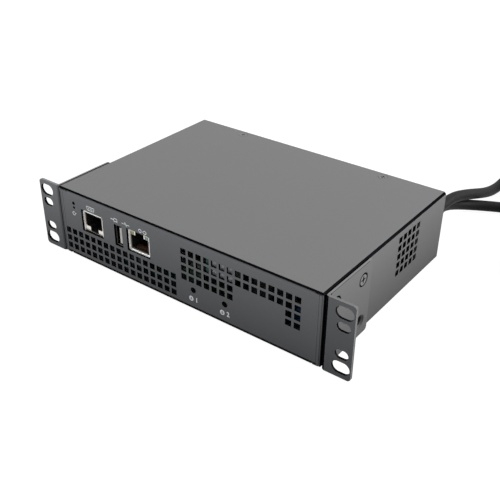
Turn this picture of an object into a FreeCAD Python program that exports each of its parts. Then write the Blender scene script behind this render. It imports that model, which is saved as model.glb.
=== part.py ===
import FreeCAD, Part
import math
import os
import re

import Sketcher
from FreeCAD import Vector

# Power distribution unit for a rack, 1U high and half a rack wide, with two outlets and two cords.
# X runs along the front panel, Y to the rear, Z up. The origin is on the standing surface, under the
# middle of the unit without its cords. Every length is in millimetres.
SIZES = {
    # case
    "case_width": 182.0,  # over the cover's two sides
    "case_depth": 130.0,  # front panel's face to rear panel's face
    "case_height": 44.4,  # tray's underside to cover's top
    "sheet": 1.2,  # steel of tray and cover
    "bend": 0.7,  # inner radius of the folds
    "fit": 0.2,  # gap between tray and cover
    "cover_rise": 1.3,  # cover's lower edge above the standing surface
    "flange_height": 15.0,  # tray's side flanges
    "top_flange": 12.0,  # tray's flanges under the cover
    "corner_open": 4.3,  # where the tray's folds stop short of its corners
    "corner_tab": 1.0,  # gap between a wall's corner tab and the outside
    # vents
    "vent": 3.7,  # side of a square hole
    "vent_pitch": 5.17,
    "left_vents_x": 86.34,  # first column of the left group, left of the middle
    "left_vents_z": 6.37,  # lowest row
    "left_columns": 17,
    "left_rows": 3,
    "right_vents_x": 4.14,  # first column of the right group
    "right_vents_share": 0.4347,  # lowest row, as a share of the case's height
    "right_columns": 15,
    "short_columns": 7,  # columns of the right group that are four holes high
    "end_columns": 2,  # four holes high again past the blank field
    "side_vents_y": 75.6,
    "side_vents_z": 17.17,
    "side_rows": 5,
    # rack ears
    "ear_span": 215.9,  # over both ears
    "ear_rise": 0.4,  # above the tray's underside, and below the cover's top
    "ear_sheet": 1.6,
    "ear_bend": 0.8,
    "ear_length": 42.0,  # flange along the case side
    "ear_corner": 2.0,
    "slot_spacing": 204.0,  # across the unit
    "outer_slot_edge": 5.925,  # large slots, from the ear's top and bottom: 31.75 apart
    "inner_slot_edge": 13.86,  # small slots: 15.88 apart
    "large_slot_length": 10.2,
    "large_slot_width": 7.1,
    "small_slot_length": 7.6,
    "small_slot_width": 5.3,
    "ear_screw_y": 8.6,
    "ear_screw_pitch": 25.4,
    "ear_screw_edge": 9.0,  # from the ear's top and bottom
    "ear_screw_radius": 1.95,
    "ear_screw_head": 3.75,
    "ear_screw_sink": 1.5,
    "ear_screw_length": 6.5,
    "ear_hole_gap": 0.65,
    "case_hole_gap": 0.55,
    "screw_gap": 0.25,
    "thread_gap": 0.06,
    "nut_radius": 3.5,
    "nut_height": 2.5,
    # cover screws
    "cover_screw_x": 52.3,
    "cover_screw_edge": 4.5,  # from the rear edge
    "cover_screw_radius": 1.45,
    "cover_screw_head": 2.7,
    "cover_screw_sink": 1.1,
    "cover_hole_gap": 0.45,
    "cover_screw_length": 7.0,
    # jacks on the front
    "jack_width": 16.3,
    "jack_height": 13.5,
    "jack_depth": 18.0,
    "jack_gap": 0.5,  # panel opening round a jack
    "serial_jack_x": -65.0,
    "network_jack_x": -28.8,
    "jack_cavity": 12.2,  # width of the plug's space
    "jack_cavity_height": 8.2,
    "jack_cavity_depth": 11.5,
    "latch_width": 6.3,
    "latch_height": 2.7,
    "jack_lip": 0.6,  # under the latch notch
    "shield": 0.3,
    "contact_count": 8,
    "contact_pitch": 1.02,
    "contact_width": 0.46,
    "contact_lean": 16.0,  # degrees
    "window_width": 3.0,
    "window_height": 2.4,
    # USB port, upright
    "usb_x": -43.9,
    "usb_drop": 7.2,  # middle of the port under the network board
    "usb_width": 5.7,
    "usb_height": 13.1,
    "usb_depth": 14.0,
    "usb_gap": 0.25,
    "tongue": 1.9,
    "tongue_height": 11.1,
    "tongue_side": 0.55,  # gap to the shell beside the tongue
    # reset and status
    "reset_x": -79.4,
    "reset_drop": 0.75,  # plunger's centre under the network board
    "reset_hole": 0.8,
    "reset_travel": 0.3,
    "plunger_width": 1.5,
    "plunger_height": 0.8,
    "plunger_reach": 1.6,  # out of the switch
    "plunger_gap": 0.1,
    "switch_width": 4.6,
    "switch_height": 1.9,
    "switch_depth": 3.6,
    "status_rise": 0.45,  # light's centre above the network board
    "status_hole": 1.1,
    # network board
    "network_board_drop": 10.1,  # underside, from the case's top
    "network_board_width": 72.0,
    "network_board_short": 60.0,  # shorter than the case
    "board": 1.6,
    "board_setback": 2.4,  # boards behind the front face
    "board_side": 4.4,  # boards from the tray's side flanges
    "fixing_left_x": -80.0,
    "fixing_mid_x": -18.5,
    "fixing_front_y": 26.0,
    "fixing_rear_inset": 6.4,
    # power board
    "power_board_z": 6.2,
    "power_board_left": -47.0,
    "power_fixing_inset": 5.0,
    "standoff_radius": 2.75,
    "standoff_gap": 1.2,
    "foot_radius": 2.1,
    "fixing_radius": 1.45,
    "fixing_head": 2.6,
    "fixing_head_height": 1.6,
    "fixing_length": 4.6,
    "insulation": 0.4,
    # outlet lights
    "light_one_x": 10.4,
    "light_two_x": 31.7,
    "light_share": 0.2928,  # height of the outlet lights, as a share of the case's
    "light_hole": 1.8,
    "light_radius": 1.5,
    "light_length": 5.0,
    # parts on the power board
    "capacitor_width": 16.4,  # out from the control board
    "capacitor_length": 30.0,
    "capacitor_height": 12.8,
    "capacitor_room": 6.0,  # under the case's top
    "relay_width": 12.7,
    "relay_height": 15.7,
    "relay_x": 44.5,
    "relay_y": 16.0,
    "relay_pitch_x": 15.0,
    "relay_row_gap": 4.0,
    "relay_terminal_gap": 2.0,
    "disc_radius": 6.5,
    "disc_thickness": 4.4,
    "disc_x": 72.5,
    "disc_y": 8.5,
    "disc_pitch": 15.0,
    "disc_count": 3,
    "choke_x": -4.0,
    "choke_y": 22.0,
    "choke_radius": 7.2,
    "choke_section": 3.4,
    "transformer_x": -33.0,
    "transformer_y": 36.5,
    "bulk_radius": 6.2,
    "bulk_height": 20.0,
    "bulk_x": 0.0,
    "bulk_y": 46.0,
    "bulk_pitch": 15.0,
    "fuse_x": -38.0,
    "fuse_y": 48.0,
    "fuse_pitch": 10.0,
    "fuse_radius": 2.6,
    "fuse_share": 0.488,  # of the way from a fuse's start to the terminals' rear
    "control_x": 18.0,
    "control_y": 3.2,
    "control_length": 57.8,
    "control_room": 5.4,  # under the case's top
    "control_notch": 8.0,  # cut back over the outlet lights
    "control_notch_top": 24.4,
    "terminal_width": 15.6,
    "terminal_depth": 9.0,
    "terminal_height": 11.0,
    "terminal_room": 21.0,  # for the wires, before the outlets
    "terminal_margin": 3.4,  # from the board's rear edge
    "terminal_pitch": 5.0,
    "input_terminal_x": 48.0,
    "input_terminal_pitch": 17.0,
    # outlets
    "outlet_one_x": 30.0,
    "outlet_two_x": -16.0,
    "outlet_z": 22.2,
    "outlet_width": 34.0,
    "outlet_height": 28.0,
    "outlet_lip": 2.0,
    "outlet_body_width": 30.6,
    "outlet_body_height": 24.6,
    "outlet_body_depth": 20.0,
    "outlet_corner": 3.0,
    "outlet_gap": 0.3,
    "blade_spacing": 12.7,
    "blade_slot": 2.4,
    "blade_slot_long": 8.6,
    "blade_slot_short": 7.2,
    "earth_offset": 11.9,
    "earth_radius": 2.6,
    "slot_depth": 17.0,
    # glands and cords
    "cord": 7.0,
    "gland_x": 80.0,  # upper gland
    "gland_z": 22.0,
    "gland_across": 6.5,  # lower gland, further in
    "gland_down": 8.4,
    "gland_radius": 5.1,
    "gland_neck": 4.5,
    "gland_gap": 0.1,
    "relief_end_radius": 4.1,
    "relief_length": 20.0,
    "gland_flange": 1.6,
    "coil_radius": 42.0,  # middle of the turns
    "coil_columns": 3,
    "coil_layers": 2,
    "coil_lead": 28.0,
    "plug_width": 25.0,
    "plug_height": 21.0,
    "plug_length": 36.0,
    "plug_relief": 22.0,
    "pin_length": 17.0,
    "pin_width": 6.35,
    "pin_thickness": 1.5,
    "earth_pin_radius": 2.38,
    "earth_pin_length": 20.0,
    "wire": 2.0,
}

ALONG_X, ALONG_Y = Vector(1, 0, 0), Vector(0, 1, 0)

doc = FreeCAD.newDocument("rack_power_unit")
sheet = doc.addObject("Spreadsheet::Sheet", "Sizes")
for row, (name, value) in enumerate(SIZES.items(), 1):
    sheet.set(f"A{row}", name)
    sheet.set(f"B{row}", str(value))
    sheet.setAlias(f"B{row}", name)
doc.recompute()

# Places that several sub-parts share, as sums of the sizes above.
SHARED = {
    "front": "(-(case_depth + outlet_lip) / 2)",
    "case_half": "(case_width / 2)",
    "wall_half": "(case_width / 2 - sheet - fit)",
    "strip_half": "(case_width / 2 - sheet - fit - corner_open)",
    "lid_under": "(case_height - sheet - fit)",
    "fold": "(bend + sheet)",
    "jack_top": "network_board_z",
    "jack_bottom": "(network_board_z - jack_height)",
    "jack_front": "(sheet + fit)",
    "power_top": "(power_board_z + board)",
    "network_top": "(network_board_z + board)",
    "ear_middle": "(ear_rise + ear_height / 2)",
    "power_right": "(power_board_left + power_board_width)",
    "outlet_back": "(case_depth - outlet_body_depth)",
    "terminal_back": "(terminal_y + terminal_depth)",
    "wire_height": "(power_board_z + board + terminal_height / 2)",
    "usb_z": "(network_board_z - usb_drop)",
    "usb_bottom": "(usb_z - usb_height / 2)",
    "network_board_z": "(case_height - network_board_drop)",
    "network_board_left": "(-(wall_half - sheet) + board_side)",
    "network_board_depth": "(case_depth - network_board_short)",
    "fixing_rear_y": "(board_setback + network_board_depth - fixing_rear_inset)",
    "power_board_width": "(wall_half - sheet - board_side - power_board_left)",
    "power_board_depth": "(terminal_back + terminal_margin - board_setback)",
    "terminal_y": "(outlet_back - terminal_room - terminal_depth)",
    "right_vents_z": "(case_height * right_vents_share)",
    "light_z": "(case_height * light_share)",
    "ear_height": "(case_height - 2 * ear_rise)",
    "outer_slots": "(ear_height - 2 * outer_slot_edge)",
    "inner_slots": "(ear_height - 2 * inner_slot_edge)",
    "ear_screw_rise": "(ear_height - 2 * ear_screw_edge)",
    "capacitor_z": "(case_height - capacitor_room - capacitor_height)",
    "control_top": "(case_height - control_room)",
    "inner_gland_x": "(gland_x - gland_across)",
    "lower_gland_z": "(gland_z - gland_down)",
    "relay_length": "((terminal_y - relay_y - relay_row_gap - relay_terminal_gap) / 2)",
    "fuse_length": "((terminal_back - fuse_y) * fuse_share)",
    "plug_axis": "(plug_height / 2)",
}


GLANDS = [("gland_x", "gland_z"), ("inner_gland_x", "lower_gland_z")]


def full(text):
    # A formula in plain size names, as the sheet's own expression.
    for _ in range(6):
        text = re.sub(r"[a-z_]+", lambda word: SHARED.get(word.group(), word.group()), text)
    for_sheet = {name: "Sizes." + name for name in SIZES}
    return re.sub(r"[a-z_]+", lambda word: for_sheet.get(word.group(), word.group()), text)


def value(text):
    return float(sheet.evalExpression(full(text)))


def bind(item, **formulas):
    for name, text in formulas.items():
        item.setExpression(name.replace("__", "."), full(text))


def place(item, x="0", y="0", z="0", axis=None, angle=0):
    # The place of a sub-part: x from the middle, y from the front panel's face, z from the underside.
    if axis:
        item.Placement = FreeCAD.Placement(Vector(), FreeCAD.Rotation(Vector(*axis), angle))
    bind(item, Placement__Base__x=x, Placement__Base__y=f"front + {y}", Placement__Base__z=z)


kept = []


def keep(item, label):
    item.Label = label
    kept.append((label, item))
    return item


# Sketches and features


def new_body(label):
    return keep(doc.addObject("PartDesign::Body", label), label)


def sketch_on(body, role, offset="0"):
    drawing = body.newObject("Sketcher::SketchObject", body.Name + "_sketch")
    plane = next(item for item in body.Origin.OriginFeatures if item.Role == role)
    drawing.AttachmentSupport = [(plane, "")]
    drawing.MapMode = "FlatFace"
    bind(drawing, AttachmentOffset__Base__z=offset)
    return drawing


def fix(drawing, kind, *where_and_text):
    *where, text = where_and_text
    number = drawing.addConstraint(Sketcher.Constraint(kind, *where, value(text)))
    drawing.setExpression(f"Constraints[{number}]", full(text))


def fix_point(drawing, line, end, x, y):
    fix(drawing, "DistanceX", -1, 1, line, end, x)
    fix(drawing, "DistanceY", -1, 1, line, end, y)


def outline(drawing, points):
    corners = [Vector(value(x), value(y), 0) for x, y in points]
    first = drawing.GeometryCount
    count = len(points)
    for number in range(count):
        drawing.addGeometry(Part.LineSegment(corners[number], corners[(number + 1) % count]), False)
    for number in range(count):
        after = first + (number + 1) % count
        drawing.addConstraint(Sketcher.Constraint("Coincident", first + number, 2, after, 1))
    for number, (x, y) in enumerate(points):
        fix_point(drawing, first + number, 1, x, y)


def rectangle(drawing, x, y, width, height):
    # x and y are the middle
    low_x, high_x = f"({x}) - ({width}) / 2", f"({x}) + ({width}) / 2"
    low_y, high_y = f"({y}) - ({height}) / 2", f"({y}) + ({height}) / 2"
    outline(drawing, [(low_x, low_y), (high_x, low_y), (high_x, high_y), (low_x, high_y)])


def circle(drawing, x, y, radius):
    ring = Part.Circle(Vector(value(x), value(y), 0), Vector(0, 0, 1), value(radius))
    number = drawing.addGeometry(ring, False)
    fix_point(drawing, number, 3, x, y)
    fix(drawing, "Radius", number, radius)


def slot(drawing, x, y, length, width):
    up = Vector(0, 0, 1)
    reach, radius, middle = value(f"({length} - {width}) / 2"), value(f"{width} / 2"), value(y)
    ends = []
    for side, start in ((1, -math.pi / 2), (-1, math.pi / 2)):
        centre = Vector(value(x) + side * reach, middle, 0)
        arc = Part.ArcOfCircle(Part.Circle(centre, up, radius), start, start + math.pi)
        ends.append(drawing.addGeometry(arc, False))
        fix_point(drawing, ends[-1], 3, f"({x}) + {side} * ({length} - {width}) / 2", y)
        fix(drawing, "Radius", ends[-1], f"{width} / 2")
    for side in (1, -1):
        start = Vector(value(x) + side * reach, middle + side * radius, 0)
        end = Vector(value(x) - side * reach, middle + side * radius, 0)
        line = drawing.addGeometry(Part.LineSegment(start, end), False)
        first, last = ends if side > 0 else ends[::-1]
        drawing.addConstraint(Sketcher.Constraint("Tangent", first, 2, line, 1))
        drawing.addConstraint(Sketcher.Constraint("Tangent", line, 2, last, 1))


def pad(body, drawing, length, reverse=False, middle=False):
    feature = body.newObject("PartDesign::Pad", body.Name + "_pad")
    feature.Profile = drawing
    bind(feature, Length=length)
    feature.Reversed = reverse
    feature.Midplane = middle
    doc.recompute()
    return feature


def pocket(body, drawing, length=None):
    # Cuts both ways from the sketch; with no length it cuts right through.
    before = body.Tip.Shape.Volume
    feature = body.newObject("PartDesign::Pocket", body.Name + "_pocket")
    feature.Profile = drawing
    feature.Midplane = True
    if length:
        bind(feature, Length=length)
    else:
        feature.Type = "ThroughAll"
    doc.recompute()
    if feature.Shape.Volume >= before:
        raise ValueError(f"{feature.Label} cuts nothing")
    return feature


def grid(body, cut, columns, rows, pitch):
    # Repeats a cut along its sketch's two axes.
    feature = body.newObject("PartDesign::MultiTransform", body.Name + "_grid")
    feature.Originals = [cut]
    lines = []
    for axis, count in (("H_Axis", columns), ("V_Axis", rows)):
        line = body.newObject("PartDesign::LinearPattern", body.Name + "_line")
        line.Direction = (cut.Profile[0], [axis])
        line.Mode = "Spacing"
        bind(line, Occurrences=count, Offset=pitch)
        lines.append(line)
    feature.Transformations = lines
    body.Tip = feature
    doc.recompute()
    return feature


def edges_along(feature, axis, *places):
    # Names of the straight edges along an axis whose two other coordinates are as given.
    others = [number for number in range(3) if number != axis]
    wanted = [(value(first), value(second)) for first, second in places]
    names = []
    for number, edge in enumerate(feature.Shape.Edges, 1):
        if edge.Curve.TypeId != "Part::GeomLine":
            continue
        ends = [tuple(corner.Point) for corner in edge.Vertexes]
        for place_wanted in wanted:
            if all(abs(end[other] - at) < 0.01 for end in ends for other, at in zip(others, place_wanted)):
                names.append(f"Edge{number}")
    return names


def round_edges(body, feature, axis, places, radius):
    rounded = body.newObject("PartDesign::Fillet", body.Name + "_fillet")
    rounded.Base = (feature, edges_along(feature, axis, *places))
    bind(rounded, Radius=radius)
    doc.recompute()
    return rounded


def sink(body, feature, keep_edge, size):
    # Countersinks the circular edges that keep_edge picks.
    names = [
        f"Edge{number}"
        for number, edge in enumerate(feature.Shape.Edges, 1)
        if edge.Curve.TypeId == "Part::GeomCircle" and edge.Closed and keep_edge(edge.Curve)
    ]
    cone = body.newObject("PartDesign::Chamfer", body.Name + "_sink")
    cone.Base = (feature, names)
    bind(cone, Size=size)
    doc.recompute()
    return cone


def turned(body, points, role="XZ_Plane"):
    # A solid of revolution about the sketch's upright axis.
    drawing = sketch_on(body, role)
    outline(drawing, points)
    feature = body.newObject("PartDesign::Revolution", body.Name + "_turn")
    feature.Profile = drawing
    feature.ReferenceAxis = (drawing, ["V_Axis"])
    feature.Angle = 360
    doc.recompute()
    return feature


# Primitives and booleans


def block(name, x, y, z, width, depth, height):
    # x and y are the middle, z is the underside
    item = doc.addObject("Part::Box", name)
    bind(item, Length=width, Width=depth, Height=height)
    bind(item, Placement__Base__x=f"({x}) - ({width}) / 2", Placement__Base__y=f"({y}) - ({depth}) / 2")
    bind(item, Placement__Base__z=z)
    return item


def lone_block(label, x, y, z, width, depth, height):
    item = block(label, x, f"front + {y}", z, width, depth, height)
    return keep(item, label)


def joined(name, *pieces):
    item = doc.addObject("Part::MultiFuse", name)
    item.Shapes = list(pieces)
    item.Refine = True
    return item


def less(name, base, *tools):
    item = doc.addObject("Part::Cut", name)
    item.Base = base
    item.Tool = tools[0] if len(tools) == 1 else joined(name + "_tools", *tools)
    return item


def softened(name, base, radius, pick):
    # Rounds the edges of a primitive that pick chooses.
    doc.recompute()
    item = doc.addObject("Part::Fillet", name)
    item.Base = base
    size = value(radius)
    item.Edges = [(n, size, size) for n, edge in enumerate(base.Shape.Edges, 1) if pick(edge)]
    return item


def upright(edge):
    first, last = edge.Vertexes[0].Point, edge.Vertexes[-1].Point
    return abs(first.z - last.z) > 0.1 and abs(first.x - last.x) + abs(first.y - last.y) < 0.01


def group(label, solids):
    # Several separate solids of one kind, as one sub-part.
    item = doc.addObject("Part::Feature", label)
    item.Shape = Part.Compound(solids)
    return keep(item, label)


def moved(shape, x, y, z, axis=(0, 0, 1), angle=0):
    copy = shape.copy()
    turn = FreeCAD.Rotation(Vector(*axis), angle)
    copy.Placement = FreeCAD.Placement(Vector(x, y, z), turn)
    return copy


# Tray with the front and rear panels


def wall_sheet(body, offset):
    # A panel, full width, with tabs past the ends of its folds.
    half, inner = "wall_half", "(strip_half + corner_tab)"
    low, high, top = "fold", "(lid_under - fold)", "(lid_under - corner_tab / 2)"
    corners = [(f"-{half}", "corner_tab"), (f"-{inner}", "corner_tab"), (f"-{inner}", low), (inner, low)]
    corners += [(inner, "corner_tab"), (half, "corner_tab"), (half, top), (inner, top), (inner, high)]
    corners += [(f"-{inner}", high), (f"-{inner}", top), (f"-{half}", top)]
    drawing = sketch_on(body, "XZ_Plane", offset)
    outline(drawing, corners)
    return pad(body, drawing, "sheet", reverse=True)


def side_flanges(body):
    start = "(fold + corner_tab)"
    drawing = sketch_on(body, "XZ_Plane", f"-{start}")
    inner, outer, wall = "(strip_half - bend)", "wall_half", "(wall_half - sheet)"
    for sign in ("", "-"):
        corners = [(sign + inner, "0"), (sign + outer, "0"), (sign + outer, "flange_height")]
        corners += [(sign + wall, "flange_height"), (sign + wall, "sheet"), (sign + inner, "sheet")]
        outline(drawing, corners)
    flanges = pad(body, drawing, f"case_depth - 2 * {start}", reverse=True)
    outer_folds = [(sign + outer, "0") for sign in ("", "-")]
    inner_folds = [(sign + wall, "sheet") for sign in ("", "-")]
    rounded = round_folds(body, flanges, 1, outer_folds, inner_folds)
    return rounded


def round_folds(body, feature, axis, outer_folds, inner_folds):
    feature = round_edges(body, feature, axis, outer_folds, "fold")
    return round_edges(body, feature, axis, inner_folds, "bend")


def vent_block(body, role, offset, x, z, columns, rows, length=None):
    drawing = sketch_on(body, role, offset)
    rectangle(drawing, x, z, "vent", "vent")
    cut = pocket(body, drawing, length)
    return grid(body, cut, columns, rows, "vent_pitch")


def make_tray():
    body = new_body("bottom_tray")
    side = sketch_on(body, "YZ_Plane")
    back, top, under = "case_depth", "lid_under", "(lid_under - sheet)"
    corners = [("0", "0"), (back, "0"), (back, top), (f"{back} - top_flange", top)]
    corners += [(f"{back} - top_flange", under), (f"{back} - sheet", under), (f"{back} - sheet", "sheet")]
    corners += [("sheet", "sheet"), ("sheet", under), ("top_flange", under), ("top_flange", top), ("0", top)]
    outline(side, corners)
    strip = pad(body, side, "2 * strip_half", middle=True)
    outer_folds = [("0", "0"), (back, "0"), (back, top), ("0", top)]
    inside = f"{back} - sheet"
    inner_folds = [("sheet", "sheet"), (inside, "sheet"), (inside, under), ("sheet", under)]
    round_folds(body, strip, 0, outer_folds, inner_folds)
    wall_sheet(body, "0")
    wall_sheet(body, "-(case_depth - sheet)")
    side_flanges(body)

    # vents of the front panel: the right group goes round a blank field
    cut_depth = "4 * sheet"
    vent_block(body, "XZ_Plane", "0", "-left_vents_x", "left_vents_z", "left_columns", "left_rows", cut_depth)
    upper = "right_vents_z + 2 * vent_pitch"
    vent_block(body, "XZ_Plane", "0", "right_vents_x", upper, "right_columns", "2", cut_depth)
    vent_block(body, "XZ_Plane", "0", "right_vents_x", "right_vents_z", "short_columns", "2", cut_depth)
    last = "right_vents_x + (right_columns - end_columns) * vent_pitch"
    vent_block(body, "XZ_Plane", "0", last, "right_vents_z", "end_columns", "2", cut_depth)

    # jacks, port, pinholes and light holes
    openings = sketch_on(body, "XZ_Plane")
    middle = "(jack_bottom + jack_height / 2)"
    for jack in ("serial_jack_x", "network_jack_x"):
        rectangle(openings, jack, middle, "jack_width + 2 * jack_gap", "jack_height + jack_gap")
    rectangle(openings, "usb_x", "usb_z", "usb_width + 2 * usb_gap", "usb_height + 2 * usb_gap")
    circle(openings, "reset_x", "network_board_z - reset_drop", "reset_hole")
    circle(openings, "reset_x", "network_top + status_rise", "status_hole")
    for light in ("light_one_x", "light_two_x"):
        circle(openings, light, "light_z", "light_hole")
    pocket(body, openings, cut_depth)

    # outlets and glands in the rear panel
    rear = sketch_on(body, "XZ_Plane", "-case_depth")
    for outlet in ("outlet_one_x", "outlet_two_x"):
        room = "2 * outlet_gap"
        rectangle(rear, outlet, "outlet_z", f"outlet_body_width + {room}", f"outlet_body_height + {room}")
    for x, z in GLANDS:
        circle(rear, x, z, "gland_neck + gland_gap")
    pocket(body, rear, cut_depth)

    # holes for the ear screws, the cover screws and the standoffs' feet
    sides = sketch_on(body, "YZ_Plane")
    for row in ("ear_screw_y", "ear_screw_y + ear_screw_pitch"):
        circle(sides, row, "ear_middle - ear_screw_rise / 2", "ear_screw_radius + case_hole_gap")
    pocket(body, sides)
    lid = sketch_on(body, "XY_Plane", "lid_under")
    row, hole = "case_depth - cover_screw_edge", "cover_screw_radius + thread_gap"
    for sign in ("", "-"):
        circle(lid, f"{sign}cover_screw_x", row, hole)
    pocket(body, lid, cut_depth)
    floor = sketch_on(body, "XY_Plane")
    for x, y in floor_fixings():
        circle(floor, x, y, "foot_radius + thread_gap")
    pocket(body, floor, cut_depth)
    place(body)


def network_fixings():
    return [(x, y) for x in ("fixing_left_x", "fixing_mid_x") for y in ("fixing_front_y", "fixing_rear_y")]


def power_fixings():
    left, right = "power_board_left + power_fixing_inset", "power_right - power_fixing_inset"
    front = "board_setback + power_fixing_inset"
    back = "board_setback + power_board_depth - power_fixing_inset"
    corners = [(x, y) for x in (left, right) for y in (front, back)]
    return corners + [place_ for place_ in network_fixings() if place_[0] == "fixing_mid_x"]


def floor_fixings():
    return power_fixings() + [place_ for place_ in network_fixings() if place_[0] == "fixing_left_x"]


# Cover


def make_cover():
    body = new_body("top_cover")
    drawing = sketch_on(body, "XZ_Plane")
    inner, under = "(case_half - sheet)", "(case_height - sheet)"
    corners = [("-case_half", "cover_rise"), ("-case_half", "case_height"), ("case_half", "case_height")]
    corners += [("case_half", "cover_rise"), (inner, "cover_rise"), (inner, under)]
    corners += [(f"-{inner}", under), (f"-{inner}", "cover_rise")]
    outline(drawing, corners)
    shell = pad(body, drawing, "case_depth", reverse=True)
    outer_folds = [("-case_half", "case_height"), ("case_half", "case_height")]
    inner_folds = [(f"-{inner}", under), (inner, under)]
    round_folds(body, shell, 1, outer_folds, inner_folds)
    vent_block(body, "YZ_Plane", "0", "side_vents_y", "side_vents_z", "side_rows", "side_rows")
    sides = sketch_on(body, "YZ_Plane")
    for row in ("ear_screw_y", "ear_screw_y + ear_screw_pitch"):
        for sign in ("-", "+"):
            circle(sides, row, f"ear_middle {sign} ear_screw_rise / 2", "ear_screw_radius + case_hole_gap")
    pocket(body, sides)
    lid = sketch_on(body, "XY_Plane", "case_height")
    row, hole = "case_depth - cover_screw_edge", "cover_screw_radius + cover_hole_gap"
    for sign in ("", "-"):
        circle(lid, f"{sign}cover_screw_x", row, hole)
    holes = pocket(body, lid, "4 * sheet")
    top = value("case_height")
    sink(body, holes, lambda ring: abs(ring.Center.z - top) < 0.01, "cover_screw_sink")
    place(body)


# Rack ears


def make_ear(label, right):
    body = new_body(label)
    drawing = sketch_on(body, "XY_Plane")
    reach = "((ear_span - case_width) / 2)"
    corners = [("0", "0"), (reach, "0"), (reach, "ear_sheet"), ("ear_sheet", "ear_sheet")]
    corners += [("ear_sheet", "ear_length"), ("0", "ear_length")]
    outline(drawing, corners)
    bracket = pad(body, drawing, "ear_height")
    outer = round_edges(body, bracket, 2, [("0", "0")], "ear_bend + ear_sheet")
    inner = round_edges(body, outer, 2, [("ear_sheet", "ear_sheet")], "ear_bend")
    corner = round_edges(body, inner, 1, [(reach, "0"), (reach, "ear_height")], "ear_corner")
    round_edges(body, corner, 0, [("ear_length", "0"), ("ear_length", "ear_height")], "ear_corner")
    slots = sketch_on(body, "XZ_Plane")
    across = "(slot_spacing - case_width) / 2"
    for sign in ("-", "+"):
        large = f"ear_height / 2 {sign} outer_slots / 2"
        slot(slots, across, large, "large_slot_length", "large_slot_width")
        small = f"ear_height / 2 {sign} inner_slots / 2"
        slot(slots, across, small, "small_slot_length", "small_slot_width")
    pocket(body, slots, "4 * ear_sheet")
    holes = sketch_on(body, "YZ_Plane")
    for row in ("ear_screw_y", "ear_screw_y + ear_screw_pitch"):
        for sign in ("-", "+"):
            circle(holes, row, f"ear_height / 2 {sign} ear_screw_rise / 2", "ear_screw_radius + ear_hole_gap")
    drilled = pocket(body, holes, "4 * ear_sheet")
    outside = value("ear_sheet")

    def outer_ring(ring):
        return abs(ring.Center.x - outside) < 0.01 and abs(ring.Axis.x) > 0.9

    sink(body, drilled, outer_ring, "ear_screw_sink")
    if right:
        place(body, "case_half", "0", "ear_rise")
    else:
        place(body, "-case_half", "0", "ear_rise + ear_height", (0, 1, 0), 180)


# Screws and nuts


def screw_shape(name, radius, head, sink_depth, length):
    # A countersunk screw that points down, its head's top at zero, with a cross recess.
    body = doc.addObject("PartDesign::Body", name)
    tip = f"{radius} / 3"
    corners = [("0", "0"), (head, "0"), (head, "-0.15"), (radius, f"-({sink_depth})")]
    corners += [(radius, f"{tip} - {length}"), (f"{radius} - {tip}", f"-{length}"), ("0", f"-{length}")]
    turned(body, corners)
    for wide, deep in (("1.15", "0.22"), ("0.22", "1.15")):
        drawing = sketch_on(body, "XY_Plane")
        rectangle(drawing, "0", "0", f"{head} * {wide}", f"{head} * {deep}")
        pocket(body, drawing, f"{sink_depth} * 1.5")
    doc.recompute()
    return body.Shape


def make_ear_screws():
    depth = "(ear_screw_head - ear_screw_radius + 0.15)"
    shape = screw_shape("ear_screw", "ear_screw_radius", "ear_screw_head", depth, "ear_screw_length")
    face = value("case_half + ear_sheet - 0.1")
    solids = [moved(shape, side * face, y, z, (0, 1, 0), side * 90) for side, y, z in ear_screw_places()]
    place(group("ear_screws", solids))


def ear_screw_places():
    # The upper pair of each ear; the lower holes stay empty.
    rows = [value("ear_screw_y"), value("ear_screw_y + ear_screw_pitch")]
    return [(side, y, value("ear_middle + ear_screw_rise / 2")) for side in (1, -1) for y in rows]


def make_ear_nuts():
    # Clinch nuts on the cover's sides.
    radius, bore, height = value("nut_radius"), value("ear_screw_radius + thread_gap"), value("nut_height")
    nut = Part.makeCylinder(radius, height).cut(Part.makeCylinder(bore, height))
    solids = []
    seat = value("case_half - sheet")
    for side, y, z in ear_screw_places():
        solids.append(moved(nut, side * seat, y, z, (0, 1, 0), -side * 90))
    place(group("ear_nuts", solids))


def make_cover_screws():
    depth = "(cover_screw_head - cover_screw_radius + 0.15)"
    shape = screw_shape("cover_screw", "cover_screw_radius", "cover_screw_head", depth, "cover_screw_length")
    y, top = value("case_depth - cover_screw_edge"), value("case_height - 0.05")
    solids = [moved(shape, side * value("cover_screw_x"), y, top) for side in (1, -1)]
    place(group("cover_screws", solids))


# Boards and what holds them


def make_board(label, left, width, depth, under, fixings):
    body = new_body(label)
    drawing = sketch_on(body, "XY_Plane", under)
    rectangle(drawing, f"{left} + {width} / 2", f"board_setback + {depth} / 2", width, depth)
    for x, y in fixings:
        circle(drawing, x, y, "fixing_radius + screw_gap")
    pad(body, drawing, "board")
    place(body)


def hexagon(radius):
    points = [Vector(radius * math.cos(a), radius * math.sin(a), 0) for a in sixths()]
    return Part.Face(Part.makePolygon(points + points[:1]))


def sixths():
    return [math.radians(60 * number) for number in range(6)]


def standoff(x, y, low, high, foot):
    # Hexagonal pillar with a threaded bore, and a foot clinched flush into the tray.
    radius, height = value("standoff_radius"), high - low
    pillar = hexagon(radius / math.cos(math.pi / 6)).extrude(Vector(0, 0, height))
    if foot:
        sheet_size = value("sheet")
        pillar = pillar.fuse(moved(Part.makeCylinder(value("foot_radius"), sheet_size), 0, 0, -sheet_size))
    bore = value("fixing_radius + thread_gap")
    depth = min(value("fixing_length + 1"), height - 0.5)
    pillar = pillar.cut(moved(Part.makeCylinder(bore, depth), 0, 0, height - depth))
    return moved(pillar, value(x), value(y), low)


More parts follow.
